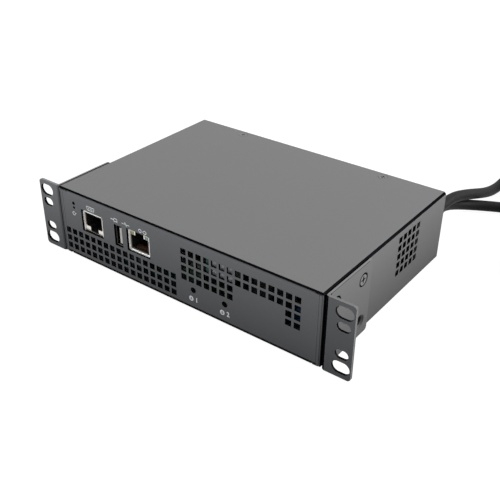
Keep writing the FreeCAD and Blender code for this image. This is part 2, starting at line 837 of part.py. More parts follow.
def make_standoffs():
    floor, power, network = value("sheet"), value("power_board_z"), value("network_board_z")
    low = [standoff(x, y, floor, power, True) for x, y in power_fixings()]
    place(group("power_standoffs", low))
    tall = []
    for x, y in network_fixings():
        stacked = x == "fixing_mid_x"
        tall.append(standoff(x, y, value("power_top") if stacked else floor, network, not stacked))
    place(group("network_standoffs", tall))


def pan_screw(length):
    head = Part.makeCylinder(value("fixing_head"), value("fixing_head_height"))
    rim = [n for n in head.Edges if abs(n.BoundBox.ZMin - value("fixing_head_height")) < 0.01 and n.Closed]
    head = head.makeFillet(value("fixing_head_height") / 2, rim[:1])
    shank = moved(Part.makeCylinder(value("fixing_radius"), length), 0, 0, -length)
    return head.fuse(shank)


def make_board_screws():
    screw = pan_screw(value("fixing_length"))
    top = value("network_top")
    heads = [moved(screw, value(x), value(y), top) for x, y in network_fixings()]
    place(group("network_board_screws", heads))
    top = value("power_top")
    heads = [moved(screw, value(x), value(y), top) for x, y in power_fixings() if x != "fixing_mid_x"]
    place(group("power_board_screws", heads))


def make_insulation():
    body = new_body("insulating_sheet")
    drawing = sketch_on(body, "XY_Plane", "sheet")
    margin = "2 * standoff_gap"
    rectangle(
        drawing,
        "power_board_left + power_board_width / 2",
        "board_setback + power_board_depth / 2",
        f"power_board_width + {margin}",
        "power_board_depth",
    )
    for x, y in power_fixings():
        circle(drawing, x, y, "standoff_radius + standoff_gap")
    pad(body, drawing, "insulation")
    place(body)


# Jacks of the front panel


def cavity_outline(drawing, latch_up, gap="0"):
    # The plug's space, seen from the front: wide part, with a notch for the latch above or under it.
    half, latch = f"(jack_cavity / 2 + {gap})", f"(latch_width / 2 + {gap})"
    near = f"(jack_lip - {gap})"
    step = f"(jack_lip + latch_height - {gap})"
    far = f"(jack_lip + latch_height + jack_cavity_height + {gap})"
    if latch_up:
        near, step, far = (f"(jack_height - {level})" for level in (near, step, far))
    corners = [(f"-{latch}", near), (latch, near), (latch, step), (half, step), (half, far)]
    outline(drawing, corners + [(f"-{half}", far), (f"-{half}", step), (f"-{latch}", step)])


def window_places():
    # Middles of the two light windows beside the latch notch, from the jack's lower left.
    across = "(latch_width / 2 + jack_cavity / 2 + window_width * 0.1) / 2"
    height = "(jack_height - jack_lip - latch_height / 2)"
    return [(f"-({across} + 0.6)", height), (f"({across} + 0.6)", height)]


def make_jack(name, x, latch_up):
    shield = new_body(name + "_shield")
    drawing = sketch_on(shield, "XZ_Plane")
    rectangle(drawing, "0", "jack_height / 2", "jack_width", "jack_height")
    pad(shield, drawing, "jack_depth", reverse=True)
    hollow = sketch_on(shield, "XZ_Plane", "-(shield + (jack_depth - shield) / 2)")
    inside = "jack_width - 2 * shield"
    rectangle(hollow, "0", "jack_height / 2", inside, "jack_height - 2 * shield")
    pocket(shield, hollow, "jack_depth - shield")
    mouth = sketch_on(shield, "XZ_Plane")
    cavity_outline(mouth, latch_up, "0.05")
    if latch_up:
        for across, height in window_places():
            rectangle(mouth, across, height, "window_width", "window_height")
    pocket(shield, mouth, "4 * shield")
    place(shield, x, "jack_front", "jack_bottom")

    housing = new_body(name + "_housing")
    gap = "0.1"
    drawing = sketch_on(housing, "XZ_Plane", f"-(shield + {gap})")
    size = f"2 * (shield + {gap})"
    rectangle(drawing, "0", "jack_height / 2", f"jack_width - {size}", f"jack_height - {size}")
    pad(housing, drawing, f"jack_depth - shield - {gap}", reverse=True)
    room = sketch_on(housing, "XZ_Plane")
    cavity_outline(room, latch_up)
    pocket(housing, room, "2 * jack_cavity_depth")
    if latch_up:
        lights = sketch_on(housing, "XZ_Plane")
        for across, height in window_places():
            rectangle(lights, across, height, "window_width", "window_height")
        pocket(housing, lights, "2 * jack_cavity_depth / 2")
    place(housing, x, "jack_front", "jack_bottom")
    make_contacts(name, x, latch_up)


def make_contacts(name, x, latch_up):
    # Eight spring contacts that lean into the plug's space from the wall opposite the latch.
    count, pitch, width = int(value("contact_count")), value("contact_pitch"), value("contact_width")
    lean, away = value("contact_lean"), value("jack_lip + latch_height + jack_cavity_height")
    wall = value("jack_height") - away if latch_up else away
    sense = 1 if latch_up else -1
    length = value("jack_cavity_depth") - 4
    solids = []
    for number in range(count):
        middle = (number - (count - 1) / 2) * pitch
        spring = Part.makeBox(width, length, 0.3, Vector(-width / 2, 0, -0.15))
        solids.append(moved(spring, middle, 1.6, wall + sense * 0.35, (1, 0, 0), sense * lean))
    item = group(name + "_contacts", solids)
    place(item, x, "jack_front", "jack_bottom")


def make_windows():
    for (across, height), label in zip(window_places(), ("link_light_amber", "link_light_green")):
        width = "window_width - 0.1"
        tall = "window_height - 0.1"
        middle, length = "jack_cavity_depth / 4 + 0.05", "jack_cavity_depth / 2 - 0.1"
        lens = block(label, across, middle, f"{height} - ({tall}) / 2", width, length, tall)
        item = softened(label + "_lens", lens, "0.2", lambda edge: edge.BoundBox.YMax < 0.1)
        keep(item, label)
        place(item, "network_jack_x", "jack_front", "jack_bottom")


def make_usb():
    wall, middle = "shield", "jack_front + usb_depth / 2"
    outer = block("usb_outer", "usb_x", middle, "usb_bottom", "usb_width", "usb_depth", "usb_height")
    inside = "2 * shield"
    hollow = block(
        "usb_hollow",
        "usb_x",
        middle,
        f"usb_bottom + {wall}",
        f"usb_width - {inside}",
        "usb_depth + 2",
        f"usb_height - {inside}",
    )
    rounded = softened("usb_rounded", outer, "0.6", along_y)
    place(keep(less("usb_shell_cut", rounded, hollow), "usb_shell"))

    back, reach = "3.0", "jack_front + 1.0"
    gap = "0.05"
    rear = block(
        "usb_rear",
        "usb_x",
        f"jack_front + usb_depth - {back} / 2",
        f"usb_bottom + {wall} + {gap}",
        f"usb_width - 2 * ({wall} + {gap})",
        back,
        f"usb_height - 2 * ({wall} + {gap})",
    )
    side = f"usb_x + usb_width / 2 - {wall} - tongue_side - tongue / 2"
    length = f"(usb_depth - {back} - 1.0 + 0.2)"
    low = "usb_z - tongue_height / 2"
    blade = block("usb_blade", side, f"{reach} + {length} / 2", low, "tongue", length, "tongue_height")
    post = block(
        "usb_post",
        "usb_x",
        "jack_front + usb_depth + 1.0",
        f"usb_bottom + {wall}",
        "usb_width - 1",
        "2.0",
        f"network_board_z - usb_bottom - {wall}",
    )
    place(keep(joined("usb_core", rear, blade, post), "usb_tongue"))


def along_y(edge):
    first, last = edge.Vertexes[0].Point, edge.Vertexes[-1].Point
    return abs(first.y - last.y) > 0.1 and abs(first.x - last.x) + abs(first.z - last.z) < 0.01


def make_usb_contacts():
    side = value("usb_x + usb_width / 2 - shield - tongue_side - tongue") - 0.16
    start, low = value("jack_front") + 2.4, value("usb_z")
    strips = []
    for height in (-3.5, -1.0, 1.0, 3.5):
        strips.append(Part.makeBox(0.15, 8.0, 1.0, Vector(side, start, low + height - 0.5)))
    place(group("usb_contacts", strips))


# Reset button and status light


def make_reset():
    under = "network_board_z"
    axis = f"({under} - reset_drop)"
    base = block(
        "switch_base",
        "reset_x",
        "board_setback + plunger_reach - 0.6 + switch_depth / 2",
        f"{under} - switch_height",
        "switch_width",
        "switch_depth",
        "switch_height",
    )
    front = "(board_setback + plunger_reach - 0.6)"
    bore_width, bore_height = "plunger_width + 2 * plunger_gap", "plunger_height + 2 * plunger_gap"
    depth = "(plunger_reach + reset_travel + plunger_gap)"
    middle, low = f"{front} + {depth} / 2 - 0.5", f"{axis} - ({bore_height}) / 2"
    bore = block("switch_bore", "reset_x", middle, low, bore_width, f"{depth} + 1", bore_height)
    place(keep(less("switch_cut", base, bore), "reset_switch"))
    length = "(2 * plunger_reach)"
    middle, low = f"{front} - plunger_reach + {length} / 2", f"{axis} - plunger_height / 2"
    stem = block("plunger_stem", "reset_x", middle, low, "plunger_width", length, "plunger_height")

    def front_edge(edge):
        return edge.BoundBox.YLength < 0.01 and edge.BoundBox.YMin < value(front)

    place(keep(softened("plunger_round", stem, "0.15", front_edge), "reset_plunger"))
    light_height = "2 * status_rise"
    lone_block("status_light", "reset_x", "board_setback + 1.2", "network_top", "1.6", "2.0", light_height)


# Parts on the boards


def make_control_board():
    # Stands on the power board, cut back in front over the outlet lights.
    body = new_body("control_board")
    drawing = sketch_on(body, "YZ_Plane", "control_x - board / 2")
    foot, rear = "control_y + control_notch", "control_y + control_length"
    corners = [(foot, "power_top"), (rear, "power_top"), (rear, "control_top"), ("control_y", "control_top")]
    outline(drawing, corners + [("control_y", "control_notch_top"), (foot, "control_notch_top")])
    pad(body, drawing, "board")
    place(body)


def above_board(edge):
    return edge.BoundBox.ZMax > value("power_top + 1")


def make_board_parts():
    lone_block("processor_chip", "-50", "44", "network_top", "14", "14", "1.3")

    across, along = "control_x + board / 2 + capacitor_width / 2", "control_y + capacitor_length / 2"
    size = ("capacitor_width", "capacitor_length", "capacitor_height")
    film = block("film", across, along, "capacitor_z", *size)
    place(keep(softened("film_round", film, "0.8", lambda edge: True), "film_capacitor"))

    places = [(column, row) for row in (0, 1) for column in (0, 1)]
    for number, (column, row) in enumerate(places, 1):
        x = f"relay_x + {column} * relay_pitch_x"
        y = f"relay_y + relay_length / 2 + {row} * (relay_length + relay_row_gap)"
        case = block(f"relay_case_{number}", x, y, "power_top", "relay_width", "relay_length", "relay_height")
        rounded = softened(f"relay_round_{number}", case, "0.6", above_board)
        place(keep(rounded, f"relay_{number}"))

    make_control_board()
    gap = "network_board_z - power_top"
    lone_block("board_connector", "fixing_mid_x - 20", "fixing_front_y - 3.4", "power_top", "22", "5", gap)
    header = "(jack_bottom - power_top - 2.8)"
    x, y = "power_board_left + 12.4", "board_setback + 4"
    shell = block("service", x, y, "power_top", "8", "5", header)
    well = block("service_well", x, y, "power_top + 1.2", "6.6", "3.6", header)
    place(keep(less("service_cut", shell, well), "service_header"))


def make_power_parts():
    top = value("power_top")
    disc_radius, thick = value("disc_radius"), value("disc_thickness")
    discs = []
    for number in range(int(value("disc_count"))):
        disc = Part.makeCylinder(disc_radius, thick, Vector(), ALONG_Y)
        disc = disc.makeFillet(thick * 0.3, [edge for edge in disc.Edges if edge.Closed and edge.Length > 1])
        y = value("disc_y") + number * value("disc_pitch")
        for across in (-3.75, 3.75):
            leg = Part.makeCylinder(0.4, 3.2, Vector(across, thick / 2, -disc_radius - 2.0))
            disc = disc.fuse(leg)
        discs.append(moved(disc, value("disc_x"), y, top + disc_radius + 2.0))
    place(group("surge_discs", discs))

    ring = doc.addObject("Part::Torus", "choke_ring")
    bind(ring, Radius1="choke_radius", Radius2="choke_section")
    ring.Placement = FreeCAD.Placement(Vector(), FreeCAD.Rotation(ALONG_X, 90))
    bind(ring, Placement__Base__x="choke_x", Placement__Base__y="choke_y")
    bind(ring, Placement__Base__z="power_top + choke_radius + choke_section + 0.5")
    seat = block("choke_seat", "choke_x", "choke_y", "power_top", "16", "9", "2.0")
    place(keep(joined("choke_fused", ring, seat), "filter_choke"))

    core = block("core", "transformer_x", "transformer_y", "power_top + 2", "20", "7", "15")
    winding = block("winding", "transformer_x", "transformer_y", "power_top + 4", "13", "17", "12")
    bobbin = block("bobbin", "transformer_x", "transformer_y", "power_top", "17", "19", "4")
    place(keep(joined("transformer_fused", core, winding, bobbin), "supply_transformer"))

    cans = []
    radius, height = value("bulk_radius"), value("bulk_height")
    for number in range(2):
        can = Part.makeCylinder(radius, height)
        can = can.makeFillet(0.8, [edge for edge in can.Edges if edge.Closed])
        cans.append(moved(can, value("bulk_x"), value("bulk_y") + number * value("bulk_pitch"), top))
    place(group("bulk_capacitors", cans))

    fuses = []
    radius, length = value("fuse_radius"), value("fuse_length")
    for number in range(2):
        tube = Part.makeCylinder(radius, length, Vector(0, 0, radius + 1.2), ALONG_Y)
        for end in (0, length - 5):
            clip = Part.makeBox(2 * radius + 1.2, 5, radius + 1.2, Vector(-radius - 0.6, end, 0))
            tube = tube.fuse(clip)
        fuses.append(moved(tube, value("fuse_x") + number * value("fuse_pitch"), value("fuse_y"), top))
    place(group("fuses", fuses))


def make_outlet_lights():
    # Round lights in right-angle holders at the power board's front edge, in line with their holes.
    holders, lights = [], []
    radius, length, top = value("light_radius"), value("light_length"), value("power_top")
    axis_z, start = value("light_z"), value("sheet") + 0.5
    front = value("board_setback") + 1.0
    for name in ("light_one_x", "light_two_x"):
        x = value(name)
        dome = Part.makeSphere(radius, Vector(x, start + radius, axis_z))
        barrel = Part.makeCylinder(radius, length, Vector(x, start + radius, axis_z), ALONG_Y)
        half = Part.makeBox(2 * radius, radius, 2 * radius, Vector(x - radius, start, axis_z - radius))
        lights.append(dome.common(half).fuse(barrel))
        height = axis_z + radius + 1 - top
        holder = Part.makeBox(5, 6, height, Vector(x - 2.5, front, top))
        bore = Part.makeCylinder(radius + 0.05, 20, Vector(x, -2, axis_z), ALONG_Y)
        holders.append(holder.cut(bore))
    place(group("outlet_lights", lights))
    place(group("light_holders", holders))


def terminal_middles():
    inputs = [f"input_terminal_x + {number} * input_terminal_pitch" for number in (0, 1)]
    return inputs + ["outlet_one_x", "outlet_two_x"]


def make_terminals():
    solids = []
    width, depth, height = value("terminal_width"), value("terminal_depth"), value("terminal_height")
    front, top = value("terminal_y"), value("power_top")
    for text in terminal_middles():
        x = value(text)
        block_ = Part.makeBox(width, depth, height, Vector(x - width / 2, front, top))
        for number in (-1, 0, 1):
            at = x + number * value("terminal_pitch")
            mouth = Vector(at, value("terminal_back") - 4, value("wire_height"))
            block_ = block_.cut(Part.makeCylinder(value("wire") / 2 + 0.1, 5, mouth, ALONG_Y))
            head = Vector(at, front + depth / 2, top + height - 1.5)
            block_ = block_.cut(Part.makeCylinder(1.8, 2, head))
        solids.append(block_)
    place(group("terminal_blocks", solids))


# Outlets at the rear


def make_outlet(label, x):
    body = new_body(label)
    rear = sketch_on(body, "XZ_Plane")
    rectangle(rear, "0", "0", "outlet_width", "outlet_height")
    lip = pad(body, rear, "outlet_lip", reverse=True)
    half, tall = "outlet_width / 2", "outlet_height / 2"
    corners = [(sign + half, other + tall) for sign in ("", "-") for other in ("", "-")]
    round_edges(body, lip, 1, corners, "outlet_corner")
    drawing = sketch_on(body, "XZ_Plane")
    rectangle(drawing, "0", "0", "outlet_body_width", "outlet_body_height")
    pad(body, drawing, "outlet_body_depth")
    slots = sketch_on(body, "XZ_Plane", "-outlet_lip")
    rise = "(earth_offset / 2 - 1)"
    rectangle(slots, "-blade_spacing / 2", rise, "blade_slot", "blade_slot_short")
    rectangle(slots, "blade_spacing / 2", rise, "blade_slot", "blade_slot_long")
    circle(slots, "0", f"{rise} - earth_offset", "earth_radius")
    pocket(body, slots, "2 * slot_depth")
    place(body, x, "case_depth", "outlet_z")


def make_outlet_contacts():
    # A spring clip in each slot, seated at the bottom of its bore.
    solids = []
    y = value("case_depth + outlet_lip - slot_depth")
    for outlet in ("outlet_one_x", "outlet_two_x"):
        x, rise = value(outlet), value("outlet_z + earth_offset / 2 - 1")
        wide = value("blade_slot") - 0.6
        for side, tall in ((-1, "blade_slot_short"), (1, "blade_slot_long")):
            high = value(tall) - 0.8
            across = x + side * value("blade_spacing") / 2 - wide / 2
            corner = Vector(across, y + 0.1, rise - high / 2)
            clip = Part.makeBox(wide, 9, high, corner)
            gap = Part.makeBox(wide / 2, 8, high, corner + Vector(wide / 4, 1.5, 0))
            solids.append(clip.cut(gap))
        axis = Vector(x, y + 0.1, rise - value("earth_offset"))
        sleeve = Part.makeCylinder(value("earth_radius") - 0.3, 9, axis, ALONG_Y)
        bore = Part.makeCylinder(value("earth_radius") - 0.8, 8, axis + Vector(0, 1.5, 0), ALONG_Y)
        solids.append(sleeve.cut(bore))
    place(group("outlet_contacts", solids))


# Glands, cords and plugs

# Routes of the two cords on the floor behind the unit, chosen by hand, from the upper relief's end.
# Each ends where its coil's outer turn begins.
UPPER_ROUTE = [
    (0.0, 0.0, 22.0),
    (0.0, 7.0, 22.0),
    (0.9, 15.5, 20.8),
    (2.5, 25.0, 18.6),
    (4.1, 36.0, 15.6),
    (5.2, 48.0, 12.3),
    (5.8, 61.0, 8.8),
    (6.0, 74.5, 5.6),
    (6.0, 88.0, 3.6),
    (6.0, 101.0, 3.6),
]
LOWER_ROUTE = [
    (-6.5, 0.0, 13.6),
    (-6.5, 7.5, 13.6),
    (-6.2, 16.5, 12.0),
    (-5.0, 26.5, 8.8),
    (-1.8, 36.8, 5.8),
    (4.2, 46.6, 4.2),
    (12.6, 55.0, 3.6),
    (23.5, 61.6, 3.6),
    (36.0, 65.2, 3.6),
    (49.0, 66.0, 3.6),
    (68.0, 66.0, 3.6),
]
COILS = [
    # middle of the coil; angles, clockwise, at which the cord comes in and leaves
    {"middle": (55.0, 129.0), "enters": 180.0, "leaves": 90.0},
    {"middle": (96.0, 17.0), "enters": 90.0, "leaves": 0.0},
]


def place_cord(item):
    place(item, "gland_x", "case_depth + relief_length")


def route_wire(points, label):
    # Straight runs joined by arcs of 0.45 of the shorter run.
    corners = [Vector(*point) for point in points]
    edges, here = [], corners[0]
    radii = []
    for before, corner, after in zip(corners, corners[1:], corners[2:]):
        come, leave = corner - before, after - corner
        turn = come.getAngle(leave)
        back = 0.45 * min(come.Length, leave.Length)
        come.normalize()
        leave.normalize()
        radius = back / math.tan(turn / 2)
        radii.append(radius)
        start, end = corner - come * back, corner + leave * back
        inward = leave - come
        inward.normalize()
        middle = corner + inward * (math.hypot(radius, back) - radius)
        edges += [Part.LineSegment(here, start).toShape(), Part.Arc(start, middle, end).toShape()]
        here = end
    edges.append(Part.LineSegment(here, corners[-1]).toShape())
    print(f"{label}: radii " + " ".join(f"{radius:.0f}" for radius in radii))
    return Part.Wire(edges)


def tube(points, diameter, label):
    path = route_wire(points, label)
    start = Vector(*points[0])
    heading = Vector(*points[1]) - start
    section = Part.Wire(Part.Circle(start, heading, diameter / 2).toShape())
    solid = path.makePipeShell([section], True, False)
    ideal = math.pi * diameter**2 / 4 * path.Length
    if abs(solid.Volume / ideal - 1) > 0.01:
        raise ValueError(f"{label} is {solid.Volume / ideal:.3f} of its section times its length")
    print(f"{label}: {path.Length:.1f} long")
    return solid


def make_glands():
    for number, (x, z) in enumerate(GLANDS, 1):
        body = new_body(f"cord_gland_{number}")
        neck, flange = "gland_neck", "gland_flange"
        corners = [("0", f"-(sheet + {flange})"), ("gland_radius", f"-(sheet + {flange})")]
        corners += [("gland_radius", "-(sheet + 0.05)"), (neck, "-(sheet + 0.05)"), (neck, "0.05")]
        corners += [("gland_radius", "0.05"), ("gland_radius", flange)]
        corners += [("gland_radius - 0.4", f"{flange} + 0.6")]
        corners += [("relief_end_radius", "relief_length"), ("0", "relief_length")]
        turned(body, corners)
        place(body, x, "case_depth", z, (1, 0, 0), -90)


def make_coil(number, facts):
    # The outer shape of the wound turns, with the lead that comes in low and the one that leaves on top.
    cord, middle = value("cord"), value("coil_radius")
    columns, layers = int(value("coil_columns")), int(value("coil_layers"))
    x, y = facts["middle"]
    half, tall = columns * cord / 2, layers * cord
    ring = Part.makeCylinder(middle + half, tall).cut(Part.makeCylinder(middle - half, tall))
    rims = [edge for edge in ring.Edges if edge.Closed and edge.Length > 50]
    ring = ring.makeFillet(cord * 0.45, rims)
    outer, lead = middle + half - cord / 2, value("coil_lead")
    ends = ((facts["enters"], cord / 2 + 0.1, -1), (facts["leaves"], tall - cord / 2, 1))
    for angle, height, sense in ends:
        turn = math.radians(angle)
        along = Vector(math.sin(turn), -math.cos(turn), 0) * sense
        start = Vector(outer * math.cos(turn), outer * math.sin(turn), height)
        ring = ring.fuse(Part.makeCylinder(cord / 2, lead, start, along))
    place_cord(group(f"cord_coil_{number}", [moved(ring.Solids[0], x, y, 0)]))


def make_cords():
    cord = value("cord")
    for number, (route, facts) in enumerate(zip((UPPER_ROUTE, LOWER_ROUTE), COILS), 1):
        label = f"cord_{number}"
        x, y = facts["middle"]
        turn = math.radians(facts["enters"])
        outer = value("coil_radius") + (int(value("coil_columns")) - 1) * cord / 2
        along = Vector(math.sin(turn), -math.cos(turn), 0)
        gate = Vector(x + outer * math.cos(turn), y + outer * math.sin(turn), 3.6)
        gate -= along * value("coil_lead")
        points = route[:-1] + [(gate.x, gate.y, gate.z)]
        place_cord(group(label, [tube(points, cord, label)]))
        make_coil(number, facts)


def plug_place(facts):
    # Where the cord leaves the coil's upper layer, and its heading there.
    turn = math.radians(facts["leaves"])
    cord = value("cord")
    outer = value("coil_radius") + (int(value("coil_columns")) - 1) * cord / 2
    x, y = facts["middle"]
    along = Vector(math.sin(turn), -math.cos(turn), 0)
    start = Vector(x + outer * math.cos(turn), y + outer * math.sin(turn), 0)
    start += along * value("coil_lead")
    return start, math.degrees(math.atan2(along.y, along.x))


def make_plugs():
    # Moulded plug with its tapered relief, built along +X from the cord's end.
    width, height = value("plug_width"), value("plug_height")
    length, relief, cord = value("plug_length"), value("plug_relief"), value("cord")
    pins = []
    for number, facts in enumerate(COILS, 1):
        axis_z = value("coil_layers * cord - cord / 2")
        cone = Part.makeCone(cord / 2 + 0.5, cord / 2 + 2.2, relief + 2, Vector(0, 0, 0), ALONG_X)
        grip = [
            oval(relief, cord + 7, cord + 6, 3.5),
            oval(relief + length * 0.35, width * 0.86, height * 0.9, 6),
            oval(relief + length * 0.62, width, height, 6),
        ]
        shell = Part.makeLoft(grip, True, True)
        face = Part.Face(oval(relief + length * 0.62, width, height, 6))
        face = face.extrude(Vector(length * 0.38, 0, 0))
        whole = cone.fuse([shell, face])
        start, heading = plug_place(facts)
        lift = max(axis_z, height / 2)
        plug = moved(whole.Solids[0], start.x, start.y, lift, (0, 0, 1), heading)
        place_cord(group(f"cord_plug_{number}", [plug]))
        for pin in pin_shapes(relief + length):
            pins.append(moved(pin, start.x, start.y, lift, (0, 0, 1), heading))
    place_cord(group("plug_pins", pins))


def oval(x, width, height, corner):
    # A rounded rectangle across the plug's axis.
    half_w, half_h = width / 2 - corner, height / 2 - corner
    arcs = []
    spots = [(half_w, half_h, 0), (-half_w, half_h, 90), (-half_w, -half_h, 180), (half_w, -half_h, 270)]
    for across, up, start in spots:
        points = []
        for angle in (start, start + 45, start + 90):
            turn = math.radians(angle)
            points.append(Vector(x, across + corner * math.cos(turn), up + corner * math.sin(turn)))
        arcs.append(points)
    edges = []
    for number, points in enumerate(arcs):
        edges.append(Part.Arc(*points).toShape())
        edges.append(Part.LineSegment(points[2], arcs[(number + 1) % 4][0]).toShape())
    return Part.Wire(edges)


def pin_shapes(x):
    # Two flat blades and the round earth pin, out of the plug's face.
    length, wide, thick = value("pin_length"), value("pin_width"), value("pin_thickness")
    spread, offset = value("blade_spacing / 2"), value("earth_offset")
    rise = offset / 2 - 1
    corners = [Vector(x, side * spread - thick / 2, rise - wide / 2) for side in (-1, 1)]
    blades = [Part.makeBox(length, thick, wide, corner) for corner in corners]
    radius, reach = value("earth_pin_radius"), value("earth_pin_length")
    earth = Part.makeCylinder(radius, reach, Vector(x, 0, rise - offset), ALONG_X)
    tip = [edge for edge in earth.Edges if edge.Closed and edge.BoundBox.XMin > x + 1]
    return blades + [earth.makeFillet(1.2, tip[:1])]


# Inner wires, by colour


def make_wires():
    wire, end = value("wire"), value("terminal_back") - 3
    low = value("wire_height")
    groups = {"line_wires": [], "neutral_wires": [], "earth_wires": []}
    inner = value("case_depth - sheet - gland_flange")
    blocks = [value(text) for text in terminal_middles()]
    pitch = value("terminal_pitch")
    for x_end, gland in zip(blocks[:2], GLANDS):
        gland_x, z = (value(text) for text in gland)
        for number, name in enumerate(groups):
            aside = (number - 1) * wire * 1.2
            target = x_end + (number - 1) * pitch
            points = [(gland_x + aside, inner, z), (gland_x + aside, inner - 6.5, z)]
            points += [(gland_x - 4.5 + aside, inner - 12.5 - aside, z + (low - z) * 0.15)]
            points += [(target + 5, end + 11.5 - aside, low + (z - low) * 0.15)]
            points += [(target, end + 6 - aside / 3, low), (target, end, low)]
            groups[name].append(tube(points, wire, name))
    spread, offset = value("blade_spacing / 2"), value("earth_offset")
    rise = value("outlet_z + earth_offset / 2 - 1")
    back = value("outlet_back")
    for x in blocks[2:]:
        tails = {"line_wires": (x - spread, rise), "neutral_wires": (x + spread, rise)}
        tails["earth_wires"] = (x, rise - offset)
        targets = {"line_wires": x - pitch, "neutral_wires": x + pitch, "earth_wires": x}
        for name, (across, z) in tails.items():
            target = targets[name]
            points = [(across, back - 0.05, z), (across, back - 7, z)]
            points += [(target, end + 8, low), (target, end, low)]
            groups[name].append(tube(points, wire, name))
    for name, solids in groups.items():
        place(group(name, solids))


def main():
    make_tray()
    make_cover()
    make_ear("rack_ear_left", False)
    make_ear("rack_ear_right", True)
    make_ear_screws()
    make_ear_nuts()
    make_cover_screws()
    make_board(
        "network_board",
        "network_board_left",
        "network_board_width",
        "network_board_depth",
        "network_board_z",
        network_fixings(),
    )
    make_board(
        "power_board",
        "power_board_left",
        "power_board_width",
        "power_board_depth",
        "power_board_z",
        power_fixings(),
    )
    make_standoffs()
    make_board_screws()
    make_insulation()
    make_jack("serial_jack", "serial_jack_x", False)
    make_jack("network_jack", "network_jack_x", True)
    make_windows()
    make_usb()
    make_usb_contacts()
    make_reset()
    make_board_parts()
    make_power_parts()
    make_outlet_lights()
    make_terminals()
    make_outlet("outlet_1", "outlet_one_x")
    make_outlet("outlet_2", "outlet_two_x")
    make_outlet_contacts()
    make_glands()
    make_cords()
    make_plugs()
    make_wires()
    doc.recompute()
    write_parts()


def write_parts():
    for item in doc.Objects:
        if "Invalid" in item.State or "Error" in item.State:
            raise ValueError(f"{item.Label} failed: {item.State}")
    for label, item in kept:
        if item.Shape.isNull() or not item.Shape.isValid():
            raise ValueError(f"{label} has no sound shape")
    os.makedirs("parts", exist_ok=True)
    for label, item in kept:
        item.Shape.exportStep(f"parts/{label}.step")
    print(f"{len(kept)} sub-parts")


main()
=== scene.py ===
import math

import bmesh
import bpy
from mathutils import Matrix, Vector


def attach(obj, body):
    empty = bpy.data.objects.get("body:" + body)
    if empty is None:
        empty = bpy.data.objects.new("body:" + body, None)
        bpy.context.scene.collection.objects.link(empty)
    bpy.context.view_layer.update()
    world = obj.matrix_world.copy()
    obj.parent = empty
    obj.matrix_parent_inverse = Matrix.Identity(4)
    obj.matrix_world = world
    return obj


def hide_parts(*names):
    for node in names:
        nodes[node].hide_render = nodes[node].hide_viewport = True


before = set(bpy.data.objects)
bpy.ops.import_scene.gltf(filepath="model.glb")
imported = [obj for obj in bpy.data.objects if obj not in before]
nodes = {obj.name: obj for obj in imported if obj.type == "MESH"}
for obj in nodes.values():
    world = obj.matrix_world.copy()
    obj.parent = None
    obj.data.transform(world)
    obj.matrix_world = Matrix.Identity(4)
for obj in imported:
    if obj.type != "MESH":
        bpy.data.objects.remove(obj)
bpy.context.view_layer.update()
mm = 0.001
print("frame loaded")

# Camera, lights and floor

cameraFacts = {
    "place": (0.23825, -0.3208, 0.2447),
    "right": (0.79846, 0.60201, 0.00706),
    "up": (-0.31678, 0.41012, 0.85525),
    "back": (0.51197, -0.68512, 0.51817),
    "lens": 55.63,
    "sensor": 36.0,
    "near": 0.01,
}


def placeCamera(facts):
    data = bpy.data.cameras.new("photoCamera")
    data.lens = facts["lens"]
    data.sensor_width = facts["sensor"]
    data.sensor_fit = "HORIZONTAL"
    data.clip_start = facts["near"]
    camera = bpy.data.objects.new("photoCamera", data)
    bpy.context.scene.collection.objects.link(camera)
    axes = [Vector(facts[name]) for name in ("right", "up", "back")]
    turn = Matrix((axes[0], axes[1], axes[2])).transposed().to_4x4()
    camera.matrix_world = Matrix.Translation(facts["place"]) @ turn
    bpy.context.scene.camera = camera


lampFacts = {
    # name: place, aimed at, size, power, colour
    "topPanel": ((0.15, 0.35, 1.5), (0, 0, 0.04), 1.3, 9.2, (1, 1, 1)),
    "sidePanel": ((1.5, 1.0, 0.75), (0.09, 0, 0.03), 0.9, 34.0, (1, 1, 1)),
    "frontPanel": ((-0.95, -0.85, 0.27), (-0.06, -0.06, 0.02), 0.5, 7.0, (0.88, 0.92, 1.0)),
}


def placeLamps(lamps):
    for name, (place, aim, size, power, colour) in lamps.items():
        data = bpy.data.lights.new(name, "AREA")
        data.size = size
        data.energy = power
        data.color = colour
        lamp = bpy.data.objects.new(name, data)
        bpy.context.scene.collection.objects.link(lamp)
        lamp.location = place
        lamp.rotation_euler = (Vector(aim) - Vector(place)).to_track_quat("-Z", "Y").to_euler()


worldFacts = {"ambient": 0.36, "seen": 1.0}


def addSeen(tree):
    # One for what the camera, a reflection or a clear piece sees, else nought.
    rays = tree.nodes.new("ShaderNodeLightPath")
    kinds = [rays.outputs[name] for name in ("Is Camera Ray", "Is Glossy Ray", "Is Transmission Ray")]
    value = kinds[0]
    for kind in kinds[1:]:
        highest = tree.nodes.new("ShaderNodeMath")
        highest.operation = "MAXIMUM"
        tree.links.new(value, highest.inputs[0])
        tree.links.new(kind, highest.inputs[1])
        value = highest.outputs[0]
    return value


def makeWorld(facts):
    world = bpy.data.worlds.new("studio")
    world.use_nodes = True
    tree = world.node_tree
    tree.nodes.clear()
    out = tree.nodes.new("ShaderNodeOutputWorld")
    mix = tree.nodes.new("ShaderNodeMixShader")
    soft = tree.nodes.new("ShaderNodeBackground")
    seen = tree.nodes.new("ShaderNodeBackground")
    soft.inputs["Strength"].default_value = facts["ambient"]
    soft.inputs["Color"].default_value = (1, 1, 1, 1)
    seen.inputs["Strength"].default_value = facts["seen"]
    seen.inputs["Color"].default_value = (1, 1, 1, 1)
    tree.links.new(addSeen(tree), mix.inputs[0])
    tree.links.new(soft.outputs[0], mix.inputs[1])
    tree.links.new(seen.outputs[0], mix.inputs[2])
    tree.links.new(mix.outputs[0], out.inputs[0])
    bpy.context.scene.world = world


